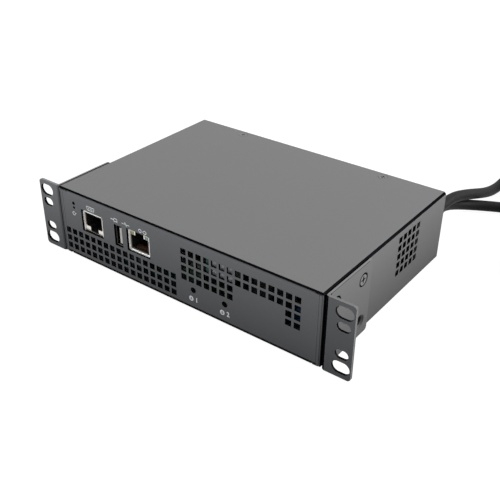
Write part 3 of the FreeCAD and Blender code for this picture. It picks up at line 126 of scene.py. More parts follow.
floorFacts = {"colour": 0.16, "own": 0.95, "size": 6.0, "drop": 0.3 * mm}


def makeFloor(facts):
    form = bmesh.new()
    bmesh.ops.create_grid(form, x_segments=1, y_segments=1, size=facts["size"])
    bmesh.ops.translate(form, verts=form.verts, vec=(0, 0, -facts["drop"]))
    mesh = bpy.data.meshes.new("floor")
    form.to_mesh(mesh)
    form.free()
    floor = bpy.data.objects.new("floor", mesh)
    bpy.context.scene.collection.objects.link(floor)
    paint = bpy.data.materials.new("floorPaint")
    paint.use_nodes = True
    tree = paint.node_tree
    tree.nodes.clear()
    out = tree.nodes.new("ShaderNodeOutputMaterial")
    diffuse = tree.nodes.new("ShaderNodeBsdfDiffuse")
    diffuse.inputs["Color"].default_value = (facts["colour"],) * 3 + (1,)
    glow = tree.nodes.new("ShaderNodeEmission")
    glow.inputs["Color"].default_value = (1, 1, 1, 1)
    share = tree.nodes.new("ShaderNodeMath")
    share.operation = "MULTIPLY"
    share.inputs[1].default_value = facts["own"]
    both = tree.nodes.new("ShaderNodeAddShader")
    tree.links.new(addSeen(tree), share.inputs[0])
    tree.links.new(share.outputs[0], glow.inputs["Strength"])
    tree.links.new(diffuse.outputs[0], both.inputs[0])
    tree.links.new(glow.outputs[0], both.inputs[1])
    tree.links.new(both.outputs[0], out.inputs[0])
    mesh.materials.append(paint)


placeCamera(cameraFacts)
placeLamps(lampFacts)
makeWorld(worldFacts)
makeFloor(floorFacts)
bpy.context.scene.view_settings.view_transform = "Standard"
print("camera, lamps and floor placed")

# Shared node groups


def startGroup(name, inputs, outputs):
    tree = bpy.data.node_groups.new(name, "ShaderNodeTree")
    for label, kind, start in inputs:
        socket = tree.interface.new_socket(label, in_out="INPUT", socket_type=kind)
        if start is not None:
            socket.default_value = start
    for label, kind in outputs:
        tree.interface.new_socket(label, in_out="OUTPUT", socket_type=kind)
    return tree, tree.nodes.new("NodeGroupInput"), tree.nodes.new("NodeGroupOutput")


def addMath(tree, operation, first, second=None, third=None):
    node = tree.nodes.new("ShaderNodeMath")
    node.operation = operation
    for number, item in enumerate((first, second, third)):
        if item is None:
            continue
        if isinstance(item, (int, float)):
            node.inputs[number].default_value = item
        else:
            tree.links.new(item, node.inputs[number])
    return node.outputs[0]


def addVector(tree, operation, first, second=None, scale=None):
    node = tree.nodes.new("ShaderNodeVectorMath")
    node.operation = operation
    for number, item in enumerate((first, second)):
        if item is None:
            continue
        if isinstance(item, tuple):
            node.inputs[number].default_value = item
        else:
            tree.links.new(item, node.inputs[number])
    if isinstance(scale, float):
        node.inputs["Scale"].default_value = scale
    elif scale is not None:
        tree.links.new(scale, node.inputs["Scale"])
    return node.outputs[0]


def addNoise(tree, vector, scale, detail=2.0):
    node = tree.nodes.new("ShaderNodeTexNoise")
    node.inputs["Detail"].default_value = detail
    if isinstance(scale, (int, float)):
        node.inputs["Scale"].default_value = scale
    else:
        tree.links.new(scale, node.inputs["Scale"])
    tree.links.new(vector, node.inputs["Vector"])
    return node.outputs["Fac"]


def addRange(tree, value, low, high, toLow=0.0, toHigh=1.0, smooth=True):
    node = tree.nodes.new("ShaderNodeMapRange")
    node.interpolation_type = "SMOOTHSTEP" if smooth else "LINEAR"
    for name, item in (("From Min", low), ("From Max", high), ("To Min", toLow), ("To Max", toHigh)):
        if isinstance(item, (int, float)):
            node.inputs[name].default_value = item
        else:
            tree.links.new(item, node.inputs[name])
    tree.links.new(value, node.inputs["Value"])
    return node.outputs[0]


def addMix(tree, share, first, second):
    node = tree.nodes.new("ShaderNodeMix")
    node.data_type = "RGBA"
    for socket, item in ((node.inputs[0], share), (node.inputs[6], first), (node.inputs[7], second)):
        if isinstance(item, (int, float)):
            socket.default_value = item
        elif isinstance(item, tuple):
            socket.default_value = item if len(item) == 4 else item + (1,)
        else:
            tree.links.new(item, socket)
    return node.outputs[2]


surfaceOutputs = [
    ("Color", "NodeSocketColor"),
    ("Roughness", "NodeSocketFloat"),
    ("Height", "NodeSocketFloat"),
]
# what a finish has where its own settings say nothing
plainGrain = {
    "rough": 0.5,
    "grain": 1500.0,
    "speckle": 0.08,
    "blotch": 0.06,
    "bump": 0.25,
    "depth": 0.08 * mm,
    "specular": 0.4,
    "coatRough": 0.15,
}
plainDrawn = {"rough": 0.35, "streak": 0.12, "metal": 0.8, "bump": 0.15, "depth": 0.03 * mm}
# broad blotches: share of the grain's scale, effect on roughness, detail of the noise
cloudFacts = {"scale": 0.015, "rough": 0.8, "detail": 3.0}
streakFacts = {
    "stretch": (4000, 250, 4000),
    "slow": 160.0,
    "rough": 0.15,
    "detail": 3.0,
    "slowDetail": 2.0,
}
maskFacts = {"steep": 20000.0, "soft": 0.1 * mm}  # how sharply boxes and rings end


def makeGrainGroup():
    # Fine grain with broad, faint blotches: powder coat, moulded plastic, rubber, resin.
    inputs = [
        ("Vector", "NodeSocketVector", None),
        ("Color", "NodeSocketColor", (0.2, 0.2, 0.2, 1)),
        ("Roughness", "NodeSocketFloat", plainGrain["rough"]),
        ("Grain Scale", "NodeSocketFloat", plainGrain["grain"]),
        ("Speckle", "NodeSocketFloat", plainGrain["speckle"]),
        ("Blotch", "NodeSocketFloat", plainGrain["blotch"]),
    ]
    tree, start, end = startGroup("surfaceGrain", inputs, surfaceOutputs)
    fine = addNoise(tree, start.outputs["Vector"], start.outputs["Grain Scale"], cloudFacts["detail"])
    broadScale = addMath(tree, "MULTIPLY", start.outputs["Grain Scale"], cloudFacts["scale"])
    broad = addNoise(tree, start.outputs["Vector"], broadScale, cloudFacts["detail"])
    shade = addMath(tree, "MULTIPLY", addMath(tree, "SUBTRACT", fine, 0.5), start.outputs["Speckle"])
    cloud = addMath(tree, "MULTIPLY", addMath(tree, "SUBTRACT", broad, 0.5), start.outputs["Blotch"])
    level = addMath(tree, "ADD", addMath(tree, "ADD", shade, cloud), 1.0)
    tree.links.new(addVector(tree, "SCALE", start.outputs["Color"], scale=level), end.inputs["Color"])
    change = addMath(tree, "MULTIPLY", cloud, cloudFacts["rough"])
    rough = addMath(tree, "ADD", start.outputs["Roughness"], change)
    tree.links.new(rough, end.inputs["Roughness"])
    tree.links.new(fine, end.inputs["Height"])
    return tree


def makeDrawnGroup():
    # Metal drawn or rolled along one axis: thin streaks with a slow change of tone.
    inputs = [
        ("Vector", "NodeSocketVector", None),
        ("Color", "NodeSocketColor", (0.6, 0.6, 0.6, 1)),
        ("Roughness", "NodeSocketFloat", plainDrawn["rough"]),
        ("Streak", "NodeSocketFloat", plainDrawn["streak"]),
    ]
    tree, start, end = startGroup("drawnMetal", inputs, surfaceOutputs)
    stretch = tree.nodes.new("ShaderNodeMapping")
    stretch.inputs["Scale"].default_value = streakFacts["stretch"]
    tree.links.new(start.outputs["Vector"], stretch.inputs["Vector"])
    streaks = addNoise(tree, stretch.outputs[0], 1.0, streakFacts["detail"])
    slow = addNoise(tree, start.outputs["Vector"], streakFacts["slow"], streakFacts["slowDetail"])
    both = addMath(tree, "SUBTRACT", addMath(tree, "ADD", streaks, slow), 1.0)
    level = addMath(tree, "ADD", addMath(tree, "MULTIPLY", both, start.outputs["Streak"]), 1.0)
    tree.links.new(addVector(tree, "SCALE", start.outputs["Color"], scale=level), end.inputs["Color"])
    change = addMath(tree, "MULTIPLY", both, streakFacts["rough"])
    rough = addMath(tree, "ADD", start.outputs["Roughness"], change)
    tree.links.new(rough, end.inputs["Roughness"])
    tree.links.new(streaks, end.inputs["Height"])
    return tree


def makeBandGroup():
    # One inside a box of the piece, mirrored left to right, with soft sides.
    inputs = [
        ("Vector", "NodeSocketVector", None),
        ("Low", "NodeSocketVector", None),
        ("High", "NodeSocketVector", None),
        ("Strength", "NodeSocketFloat", 1.0),
    ]
    tree, start, end = startGroup("coatBand", inputs, [("Mask", "NodeSocketFloat")])
    mirrored = addVector(tree, "MULTIPLY", addVector(tree, "ABSOLUTE", start.outputs["Vector"]), (1, 0, 0))
    straight = addVector(tree, "MULTIPLY", start.outputs["Vector"], (0, 1, 1))
    place = addVector(tree, "ADD", mirrored, straight)
    inside = None
    for first, second in ((place, start.outputs["Low"]), (start.outputs["High"], place)):
        gap = addVector(tree, "SCALE", addVector(tree, "SUBTRACT", first, second), scale=maskFacts["steep"])
        open01 = addVector(tree, "MAXIMUM", addVector(tree, "MINIMUM", gap, (1, 1, 1)), (0, 0, 0))
        inside = open01 if inside is None else addVector(tree, "MULTIPLY", inside, open01)
    parts = tree.nodes.new("ShaderNodeSeparateXYZ")
    tree.links.new(inside, parts.inputs[0])
    mask = start.outputs["Strength"]
    for share in parts.outputs:
        mask = addMath(tree, "MULTIPLY", mask, share)
    tree.links.new(mask, end.inputs["Mask"])
    return tree


def makeRingGroup():
    # One between two radii round a line across the unit.
    inputs = [
        ("Vector", "NodeSocketVector", None),
        ("Centre", "NodeSocketVector", None),
        ("Inner", "NodeSocketFloat", 0.003),
        ("Outer", "NodeSocketFloat", 0.004),
    ]
    tree, start, end = startGroup("coatRing", inputs, [("Mask", "NodeSocketFloat")])
    away = addVector(tree, "SUBTRACT", start.outputs["Vector"], start.outputs["Centre"])
    flat = addVector(tree, "MULTIPLY", away, (0, 1, 1))
    length = tree.nodes.new("ShaderNodeVectorMath")
    length.operation = "LENGTH"
    tree.links.new(flat, length.inputs[0])
    reach = length.outputs["Value"]
    inner, outer = start.outputs["Inner"], start.outputs["Outer"]
    rise = addRange(tree, reach, addMath(tree, "SUBTRACT", inner, maskFacts["soft"]), inner)
    fall = addRange(tree, reach, outer, addMath(tree, "ADD", outer, maskFacts["soft"]), 1.0, 0.0)
    tree.links.new(addMath(tree, "MULTIPLY", rise, fall), end.inputs["Mask"])
    return tree


grainGroup = makeGrainGroup()
drawnGroup = makeDrawnGroup()
bandGroup = makeBandGroup()
ringGroup = makeRingGroup()


def startMaterial(name):
    material = bpy.data.materials.new(name)
    material.use_nodes = True
    tree = material.node_tree
    shader = tree.nodes["Principled BSDF"]
    coordinates = tree.nodes.new("ShaderNodeTexCoord")
    return material, tree, shader, coordinates.outputs["Object"]


def addBump(tree, shader, height, strength, distance):
    bump = tree.nodes.new("ShaderNodeBump")
    bump.inputs["Strength"].default_value = strength
    bump.inputs["Distance"].default_value = distance
    tree.links.new(height, bump.inputs["Height"])
    tree.links.new(bump.outputs[0], shader.inputs["Normal"])


def surfaceMaterial(name, facts, surface, settings):
    material, tree, shader, place = startMaterial(name)
    group = tree.nodes.new("ShaderNodeGroup")
    group.node_tree = surface
    group.inputs["Color"].default_value = facts["colour"] + (1,)
    for socket, key in settings.items():
        group.inputs[socket].default_value = facts[key]
    tree.links.new(place, group.inputs["Vector"])
    tree.links.new(group.outputs["Color"], shader.inputs["Base Color"])
    tree.links.new(group.outputs["Roughness"], shader.inputs["Roughness"])
    addBump(tree, shader, group.outputs["Height"], facts["bump"], facts["depth"])
    return material, shader


grainSettings = {"Roughness": "rough", "Grain Scale": "grain", "Speckle": "speckle", "Blotch": "blotch"}
drawnSettings = {"Roughness": "rough", "Streak": "streak"}


def grainMaterial(name, facts):
    facts = {**plainGrain, **facts}
    material, shader = surfaceMaterial(name, facts, grainGroup, grainSettings)
    shader.inputs["Specular IOR Level"].default_value = facts["specular"]
    if "coat" in facts:
        shader.inputs["Coat Weight"].default_value = facts["coat"]
        shader.inputs["Coat Roughness"].default_value = facts["coatRough"]
    return material


def drawnMaterial(name, facts):
    facts = {**plainDrawn, **facts}
    material, shader = surfaceMaterial(name, facts, drawnGroup, drawnSettings)
    shader.inputs["Metallic"].default_value = facts["metal"]
    return material


coatFacts = {
    "colour": (0.190, 0.190, 0.192),
    "sheen": (0, 0, 0),
    "rough": 0.55,
    "grain": 1400.0,
    "speckle": 0.10,
    "blotch": 0.05,
    "bump": 0.22,
    "depth": 0.0001,
    "specular": 0.2,
    "low": 0.42,  # painted shade: tone at the foot of the case, as a share of that at its top
}
# lit and shaded copies of one powder coat: the tray and left ear painted lighter, and each piece's painted
# shade at its foot set apart
trayFacts = dict(coatFacts, colour=(0.226, 0.226, 0.228), low=0.47)
coverFacts = dict(coatFacts, low=0.35)
leftEarFacts = dict(coatFacts, colour=(0.246, 0.246, 0.248))
rightEarFacts = dict(coatFacts, low=0.52)
screwFacts = {
    "sheen": (0, 0, 0),
    "colour": (0.18, 0.18, 0.18),
    "rough": 0.35,
    "grain": 3000.0,
    "bump": 0.1,
    # painted shade discs in the heads' cross recesses: centre, inner and outer radius
    "recessShadeDiscs": [((92, -57.4, 35), -0.2, 0.85), ((92, -32.0, 35), -0.2, 0.85)],
}
shadeFacts = {
    # colours of the painted shade, of the painted highlights, and of the painted shade inside the ports
    "dark": (0.006, 0.006, 0.007),
    "paintedHighlight": (0.36, 0.36, 0.36),
    "port": (0.01, 0.01, 0.01),
    # painted shade boxes in millimetres, mirrored left to right: lowest corner, highest corner, strength
    "tray": [
        ((0, -65.93, 4.0), (88.2, -64.87, 41.0), 1.0),  # painted shade on the walls of the vents and port openings
        ((0, -66.2, 42.95), (92, -62, 44.6), 1.0),  # painted shade under the cover's front edge
        ((0, -66.2, -0.2), (88.6, -64, 2.55), 0.93),  # painted shade on the lower fold
        ((88.0, -66.2, 0.8), (88.3, -65.7, 42.6), 0.75),  # painted shade line beside the side folds
    ],
    "cover": [
        ((0, -66.2, 43.15), (91.2, -65.6, 44.6), 1.0),  # painted shade on the front edge
        # painted shade on the side's front edge
        ((90.5, -66.2, 1), (91.2, -64.5, 43.4), 1.0),
        ((89.7, 8.5, 14.5), (90.97, 31.5, 40.5), 1.0),  # painted shade on the edges of the side vents
    ],
    "ear": [
        ((90.9, -66.2, 43.85), (91.6, -20, 44.2), 1.0),  # painted shade on the top edge next to the cover
        ((92.4, -64, 43.35), (92.8, -27, 43.75), 0.6),  # painted shade line under the top edge
        ((94.0, -65.93, 2), (107.6, -64.47, 42.6), 1.0),  # painted shade on the edges of the slots
    ],
    # painted shade on the right ear's bend
    "earFoldShade": ((90.9, -66.2, 0), (93.0, -62.6, 43.9), 1.0),
    # painted highlights along the ears' edges: lowest corner, highest corner, strength
    "earPaintedHighlights": [
        ((91.6, -64.5, 43.85), (93.0, -20, 44.2), 0.3),
        ((93.0, -66.2, 43.85), (107.95, -65.3, 44.2), 0.1),
        ((107.8, -66.2, 2), (108.2, -65.3, 42), 0.4),
    ],
    "earScrew": [((80, -70, 0), (92.38, -20, 44), 1.0)],  # painted shade in the recess, below the head's face
    # painted shade in the cover screws' recesses, below the heads' faces
    "coverScrew": [((0, 40, 30), (91, 66, 44.12), 1.0)],
    # painted shade rings on the ears' sides, round the screws and over the empty lower holes: centre, inner
    # and outer radius
    "rings": [
        ((92, -57.4, 35), 3.05, 3.85),
        ((92, -32.0, 35), 3.05, 3.85),
        ((92, -57.4, 9.4), -0.2, 2.95),
        ((92, -32.0, 9.4), -0.2, 2.95),
    ],
}
caseTop = 44 * mm
foldShadeFacts = {"start": 0.13393, "end": 0.13405}  # painted shade across the cover's folds, between these values of |x| + z


def addMask(tree, place, group, settings):
    mask = tree.nodes.new("ShaderNodeGroup")
    mask.node_tree = group
    tree.links.new(place, mask.inputs["Vector"])
    for socket, value in settings.items():
        mask.inputs[socket].default_value = value
    return mask.outputs["Mask"]


def addBand(tree, place, low, high, strength):
    low, high = ([number * mm for number in corner] for corner in (low, high))
    return addMask(tree, place, bandGroup, {"Low": low, "High": high, "Strength": strength})


def addRing(tree, place, centre, inner, outer):
    centre = [number * mm for number in centre]
    settings = {"Centre": centre, "Inner": inner * mm, "Outer": outer * mm}
    return addMask(tree, place, ringGroup, settings)


def reopenMaterial(material):
    tree = material.node_tree
    shader = tree.nodes["Principled BSDF"]
    colour = shader.inputs["Base Color"].links[0].from_socket
    place = next(item for item in tree.nodes if item.type == "TEX_COORD").outputs["Object"]
    parts = tree.nodes.new("ShaderNodeSeparateXYZ")
    tree.links.new(place, parts.inputs[0])
    return tree, shader, colour, place, parts.outputs


def coatMaterial(name, facts, bands, rings=(), paintedHighlight=(), foldShade=False):
    # The powder coat, with painted shade (black) in the folds, gaps, cut edges and recesses, painted
    # highlights along edges, and painted shade darkening it towards its foot.
    material = grainMaterial(name, facts)
    tree, shader, colour, place, parts = reopenMaterial(material)
    # painted shade: the colour darkens towards the case's foot, down to the share given by low
    height = addRange(tree, parts["Z"], 0.0, caseTop, facts.get("low", 1.0), 1.0, smooth=False)
    colour = addVector(tree, "MULTIPLY", colour, height)
    masks = [addBand(tree, place, *band) for band in bands]
    masks += [addRing(tree, place, *ring) for ring in rings]
    if foldShade:
        # painted shade along the cover's folds, where |x| + z crosses the band
        across = addMath(tree, "ADD", addMath(tree, "ABSOLUTE", parts["X"]), parts["Z"])
        masks.append(addRange(tree, across, foldShadeFacts["start"], foldShadeFacts["end"]))
    # painted highlights: the pale colour mixed in over these boxes
    for band in paintedHighlight:
        colour = addMix(tree, addBand(tree, place, *band), colour, shadeFacts["paintedHighlight"])
    whole, *others = masks
    for mask in others:
        whole = addMath(tree, "MAXIMUM", whole, mask)
    # painted shade: black wherever a mask is, and metallic there so that it keeps no reflection
    tree.links.new(addMix(tree, whole, colour, shadeFacts["dark"]), shader.inputs["Base Color"])
    tree.links.new(whole, shader.inputs["Metallic"])
    shader.inputs["Specular Tint"].default_value = facts["sheen"] + (1,)
    return material


def portMaterial(name, facts):
    # A port's metal or plastic, its own colour at its front edge and painted shade inside.
    material = drawnMaterial(name, facts) if "streak" in facts else grainMaterial(name, facts)
    tree, shader, colour, place, parts = reopenMaterial(material)
    inside = addRange(tree, parts["Y"], facts["front"] * mm, (facts["front"] + facts["fade"]) * mm)
    for band in facts.get("inner", ()):
        inside = addMath(tree, "MAXIMUM", inside, addBand(tree, place, *band))
    # painted shade mixed in deeper inside the port
    tree.links.new(addMix(tree, inside, colour, shadeFacts["port"]), shader.inputs["Base Color"])
    return material


boardPattern = {
    "rough": 0.35,
    "bump": 0.2,
    "depth": 0.05 * mm,
    "tracks": 260,
    "gap": 0.09,
    "pads": 190,
    "padRange": (0.16, 0.12),
    "spread": 60.0,
    "spreadRange": (0.45, 0.55),
}
boardFacts = {
    "boardGreen": {"mask": (0.006, 0.075, 0.045), "trace": (0.015, 0.11, 0.07), "pad": (0.30, 0.28, 0.20)},
    "boardUpright": {"mask": (0.008, 0.16, 0.115), "trace": (0.015, 0.19, 0.14), "pad": (0.16, 0.24, 0.18)},
}


def boardMaterial(name, facts):
    # Green solder mask with lighter tracks and tinned pads.
    material, tree, shader, place = startMaterial(name)
    bricks = tree.nodes.new("ShaderNodeTexBrick")
    bricks.inputs["Scale"].default_value = boardPattern["tracks"]
    bricks.inputs["Mortar Size"].default_value = boardPattern["gap"]
    for name, shade in (("Color1", 0), ("Color2", 0), ("Mortar", 1)):
        bricks.inputs[name].default_value = (shade, shade, shade, 1)
    tree.links.new(place, bricks.inputs["Vector"])
    cells = tree.nodes.new("ShaderNodeTexVoronoi")
    cells.inputs["Scale"].default_value = boardPattern["pads"]
    tree.links.new(place, cells.inputs["Vector"])
    spread = addNoise(tree, place, boardPattern["spread"], 2.0)
    areas = addRange(tree, spread, *boardPattern["spreadRange"])
    tracks = addMath(tree, "MULTIPLY", bricks.outputs["Color"], areas)
    pads = addRange(tree, cells.outputs["Distance"], *boardPattern["padRange"])
    colour = addMix(tree, tracks, facts["mask"], facts["trace"])
    tree.links.new(addMix(tree, pads, colour, facts["pad"]), shader.inputs["Base Color"])
    shader.inputs["Roughness"].default_value = boardPattern["rough"]
    height = addMath(tree, "ADD", tracks, pads)
    addBump(tree, shader, height, boardPattern["bump"], boardPattern["depth"])
    return material


coatedFacts = {
    # name: facts, painted shade boxes, painted shade rings, painted highlight boxes, painted shade along
    # the folds
    "trayCoat": (trayFacts, shadeFacts["tray"]),
    "coverCoat": (coverFacts, shadeFacts["cover"], (), (), True),
    "earCoatLeft": (leftEarFacts, shadeFacts["ear"], shadeFacts["rings"], shadeFacts["earPaintedHighlights"]),
    "earCoatRight": (
        rightEarFacts,
        shadeFacts["ear"] + [shadeFacts["earFoldShade"]],
        shadeFacts["rings"],
        shadeFacts["earPaintedHighlights"],
    ),
    "earScrew": (screwFacts, shadeFacts["earScrew"], shadeFacts["rings"] + screwFacts["recessShadeDiscs"]),
    "coverScrew": (screwFacts, shadeFacts["coverScrew"]),
}
portFacts = {
    # front: where each turns from its own colour to painted shade inside, over the length of its fade
    "tinPlate": {
        "colour": (0.74, 0.71, 0.64),
        "rough": 0.34,
        "metal": 1.0,
        "streak": 0.10,
        "front": -64.3,
        "fade": 0.8,
        # painted shade on the folded inner parts of each shield's face
        "inner": [
            ((58.0, -65, 24.3), (72.0, -60, 33.2), 0.93),
            ((21.8, -65, 21.8), (35.8, -60, 31.1), 0.93),
        ],
    },
    "usbShell": {
        "colour": (0.40, 0.38, 0.34),
        "rough": 0.4,
        "metal": 0.4,
        "streak": 0.10,
        "front": -64.55,
        "fade": 0.2,
    },
    "usbTongue": {"colour": (0.78, 0.74, 0.66), "rough": 0.4, "grain": 2200.0, "front": -64.6, "fade": 0.6},
    "goldContact": {
        # gold, its colour darkened as painted shade deep in the jacks
        "colour": (0.30, 0.13, 0.06),
        "rough": 0.35,
        "metal": 0.6,
        "streak": 0.12,
        "front": -63.0,
        "fade": 3.0,
    },
}
metalFacts = {
    "zincPlate": {"colour": (0.60, 0.60, 0.58), "rough": 0.35, "metal": 0.85},
    # winding near black in place of its copper: painted shade of the case's inside
    "enamelWire": {"colour": (0.02, 0.014, 0.012), "rough": 0.4, "metal": 0.3},
    "frameTin": {"colour": (0.92, 0.90, 0.86), "rough": 0.4, "metal": 0.5, "streak": 0.08},
    "solderTin": {"colour": (0.66, 0.66, 0.66), "rough": 0.3, "metal": 0.9},
    "brassPlain": {"colour": (0.74, 0.56, 0.26), "rough": 0.3, "metal": 0.85},
}
plainFacts = {
    "chipCeramic": {"colour": (0.42, 0.30, 0.19), "rough": 0.45, "grain": 2600.0},
    "jackBlack": {"colour": (0.018, 0.018, 0.02), "rough": 0.45, "grain": 2500.0},
    "amberLens": {"colour": (0.34, 0.30, 0.10), "rough": 0.2, "grain": 900.0, "coat": 0.4},
    "greenLens": {"colour": (0.22, 0.36, 0.28), "rough": 0.2, "grain": 900.0, "coat": 0.4},
    "clearLens": {"colour": (0.05, 0.13, 0.12), "rough": 0.15, "grain": 900.0, "coat": 0.5},
    "chipResin": {"colour": (0.03, 0.03, 0.032), "rough": 0.55, "grain": 4000.0},
    "relayBlack": {"colour": (0.035, 0.035, 0.038), "rough": 0.4, "grain": 2500.0},
    "boxGrey": {"colour": (0.50, 0.51, 0.52), "rough": 0.5, "grain": 1800.0},
    "ferriteGreen": {"colour": (0.08, 0.15, 0.08), "rough": 0.4, "grain": 1200.0},
    "tapeYellow": {"colour": (0.70, 0.52, 0.10), "rough": 0.35},
    "sleeveBlue": {"colour": (0.02, 0.03, 0.07), "rough": 0.25},
    "fuseBody": {"colour": (0.62, 0.60, 0.56), "rough": 0.3},
    "discBlue": {"colour": (0.012, 0.07, 0.19), "rough": 0.35, "grain": 1200.0},
    "terminalGreen": {"colour": (0.04, 0.22, 0.09), "rough": 0.4, "grain": 2000.0},
    "filmGrey": {"colour": (0.10, 0.10, 0.10), "rough": 0.3},
    "outletBlack": {"colour": (0.018, 0.018, 0.019), "rough": 0.5, "grain": 1800.0, "bump": 0.35},
    "wireBlack": {"colour": (0.03, 0.03, 0.03), "rough": 0.4, "grain": 2000.0},
    "wireWhite": {"colour": (0.70, 0.70, 0.68), "rough": 0.4, "grain": 2000.0},
    "wireGreen": {"colour": (0.05, 0.30, 0.10), "rough": 0.4, "grain": 2000.0},
    "printWhite": {"colour": (0.97, 0.97, 0.96), "rough": 0.6, "grain": 2500.0},
    "plugRubber": {
        "colour": (0.014, 0.014, 0.015),
        "rough": 0.55,
        "grain": 1300.0,
        "speckle": 0.25,
        "bump": 0.35,
        "specular": 0.2,
    },
    "cordRubber": {
        "colour": (0.009, 0.009, 0.010),
        "rough": 0.6,
        "grain": 1100.0,
        "speckle": 0.3,
        "bump": 0.4,
        "depth": 0.0002,
        "specular": 0.12,
    },
}

finishes = {name: coatMaterial(name, *facts) for name, facts in coatedFacts.items()}
for make, table in (
    (portMaterial, portFacts),
    (boardMaterial, boardFacts),
    (drawnMaterial, metalFacts),
    (grainMaterial, plainFacts),
):
    for name, facts in table.items():
        finishes[name] = make(name, facts)

nodesOfFinish = {
    "trayCoat": ("bottom_tray",),
    "coverCoat": ("top_cover",),
    "earCoatLeft": ("rack_ear_left",),
    "earCoatRight": ("rack_ear_right",),
    "earScrew": ("ear_screws",),
    "coverScrew": ("cover_screws",),
    "zincPlate": (
        "ear_nuts",
        "power_standoffs",
        "network_standoffs",
        "network_board_screws",
        "power_board_screws",
    ),
    "boardGreen": ("network_board", "power_board"),
    "boardUpright": ("control_board",),
    "filmGrey": ("insulating_sheet",),
    "tinPlate": ("serial_jack_shield", "network_jack_shield"),
    "jackBlack": (
        "serial_jack_housing",
        "network_jack_housing",
        "reset_switch",
        "reset_plunger",
        "board_connector",
        "service_header",
        "light_holders",
    ),
    "goldContact": ("serial_jack_contacts", "network_jack_contacts", "usb_contacts"),
    "amberLens": ("link_light_amber",),
    "greenLens": ("link_light_green",),
    "clearLens": ("status_light", "outlet_lights"),
    "usbShell": ("usb_shell",),
    "usbTongue": ("usb_tongue",),
    "chipResin": ("processor_chip",),
    "boxGrey": ("film_capacitor",),
    "relayBlack": ("relay_1", "relay_2", "relay_3", "relay_4"),
    "discBlue": ("surge_discs",),
    "ferriteGreen": ("filter_choke",),
    "tapeYellow": ("supply_transformer",),
    "sleeveBlue": ("bulk_capacitors",),
    "fuseBody": ("fuses",),
    "terminalGreen": ("terminal_blocks",),
    "outletBlack": ("outlet_1", "outlet_2"),
    "brassPlain": ("outlet_contacts", "plug_pins"),
    "wireBlack": ("line_wires",),
    "wireWhite": ("neutral_wires",),
    "wireGreen": ("earth_wires",),
}
finishOfNode = {name: finish for finish, names in nodesOfFinish.items() for name in names}

for name, node in nodes.items():
    node.data.materials.clear()
    # glands and plugs, and the cords that scene cords stand for, are rubber
    node.data.materials.append(finishes[finishOfNode.get(name, "plugRubber")])
print("finishes set on the frame's pieces")


sharpAngle = 35.0
weldReach = 1e-7


def finishPiece(name, form, finish, replaces=(), smooth=False):
    bmesh.ops.remove_doubles(form, verts=form.verts, dist=weldReach)
    bmesh.ops.recalc_face_normals(form, faces=form.faces)
    mesh = bpy.data.meshes.new(name)
    form.to_mesh(mesh)
    form.free()
    mesh.materials.append(finishes[finish])
    if smooth:
        mesh.shade_smooth()
        mesh.set_sharp_from_angle(angle=math.radians(sharpAngle))
    piece = bpy.data.objects.new(name, mesh)
    bpy.context.scene.collection.objects.link(piece)
    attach(piece, "unit")
    if replaces:
        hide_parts(*replaces)


def softenEdges(form, faces, width, segments):
    edges = list({edge for face in faces for edge in face.edges})
    bmesh.ops.bevel(
        form, geom=edges, offset=width * mm, affect="EDGES", segments=segments, profile=0.5, material=-1
    )


def addBlock(form, low, high, soft=0.0):
    # A block between two corners, in millimetres, its edges rounded off.
    made = bmesh.ops.create_cube(form, size=1.0)["verts"]
    size = [(b - a) * mm for a, b in zip(low, high)]
    middle = [(a + b) / 2 * mm for a, b in zip(low, high)]
    bmesh.ops.scale(form, verts=made, vec=size)
    bmesh.ops.translate(form, verts=made, vec=middle)
    if soft:
        softenEdges(form, {face for vert in made for face in vert.link_faces}, soft, 2)


def addRod(form, start, end, radius, soft=0.0, segments=24):
    # A round rod between two points, in millimetres, its ends rounded off.
    first, last = Vector(start) * mm, Vector(end) * mm
    along = last - first
    turn = along.to_track_quat("Z", "Y").to_matrix()
    made = bmesh.ops.create_cone(
        form, cap_ends=True, segments=segments, radius1=radius * mm, radius2=radius * mm, depth=along.length
    )["verts"]
    bmesh.ops.rotate(form, verts=made, cent=(0, 0, 0), matrix=turn)
    bmesh.ops.translate(form, verts=made, vec=(first + last) / 2)
    if soft:
        caps = {face for vert in made for face in vert.link_faces if len(face.verts) == segments}
        softenEdges(form, caps, soft, 3)


# Cords: the stretch behind the unit, then the put-away coil, then the plug

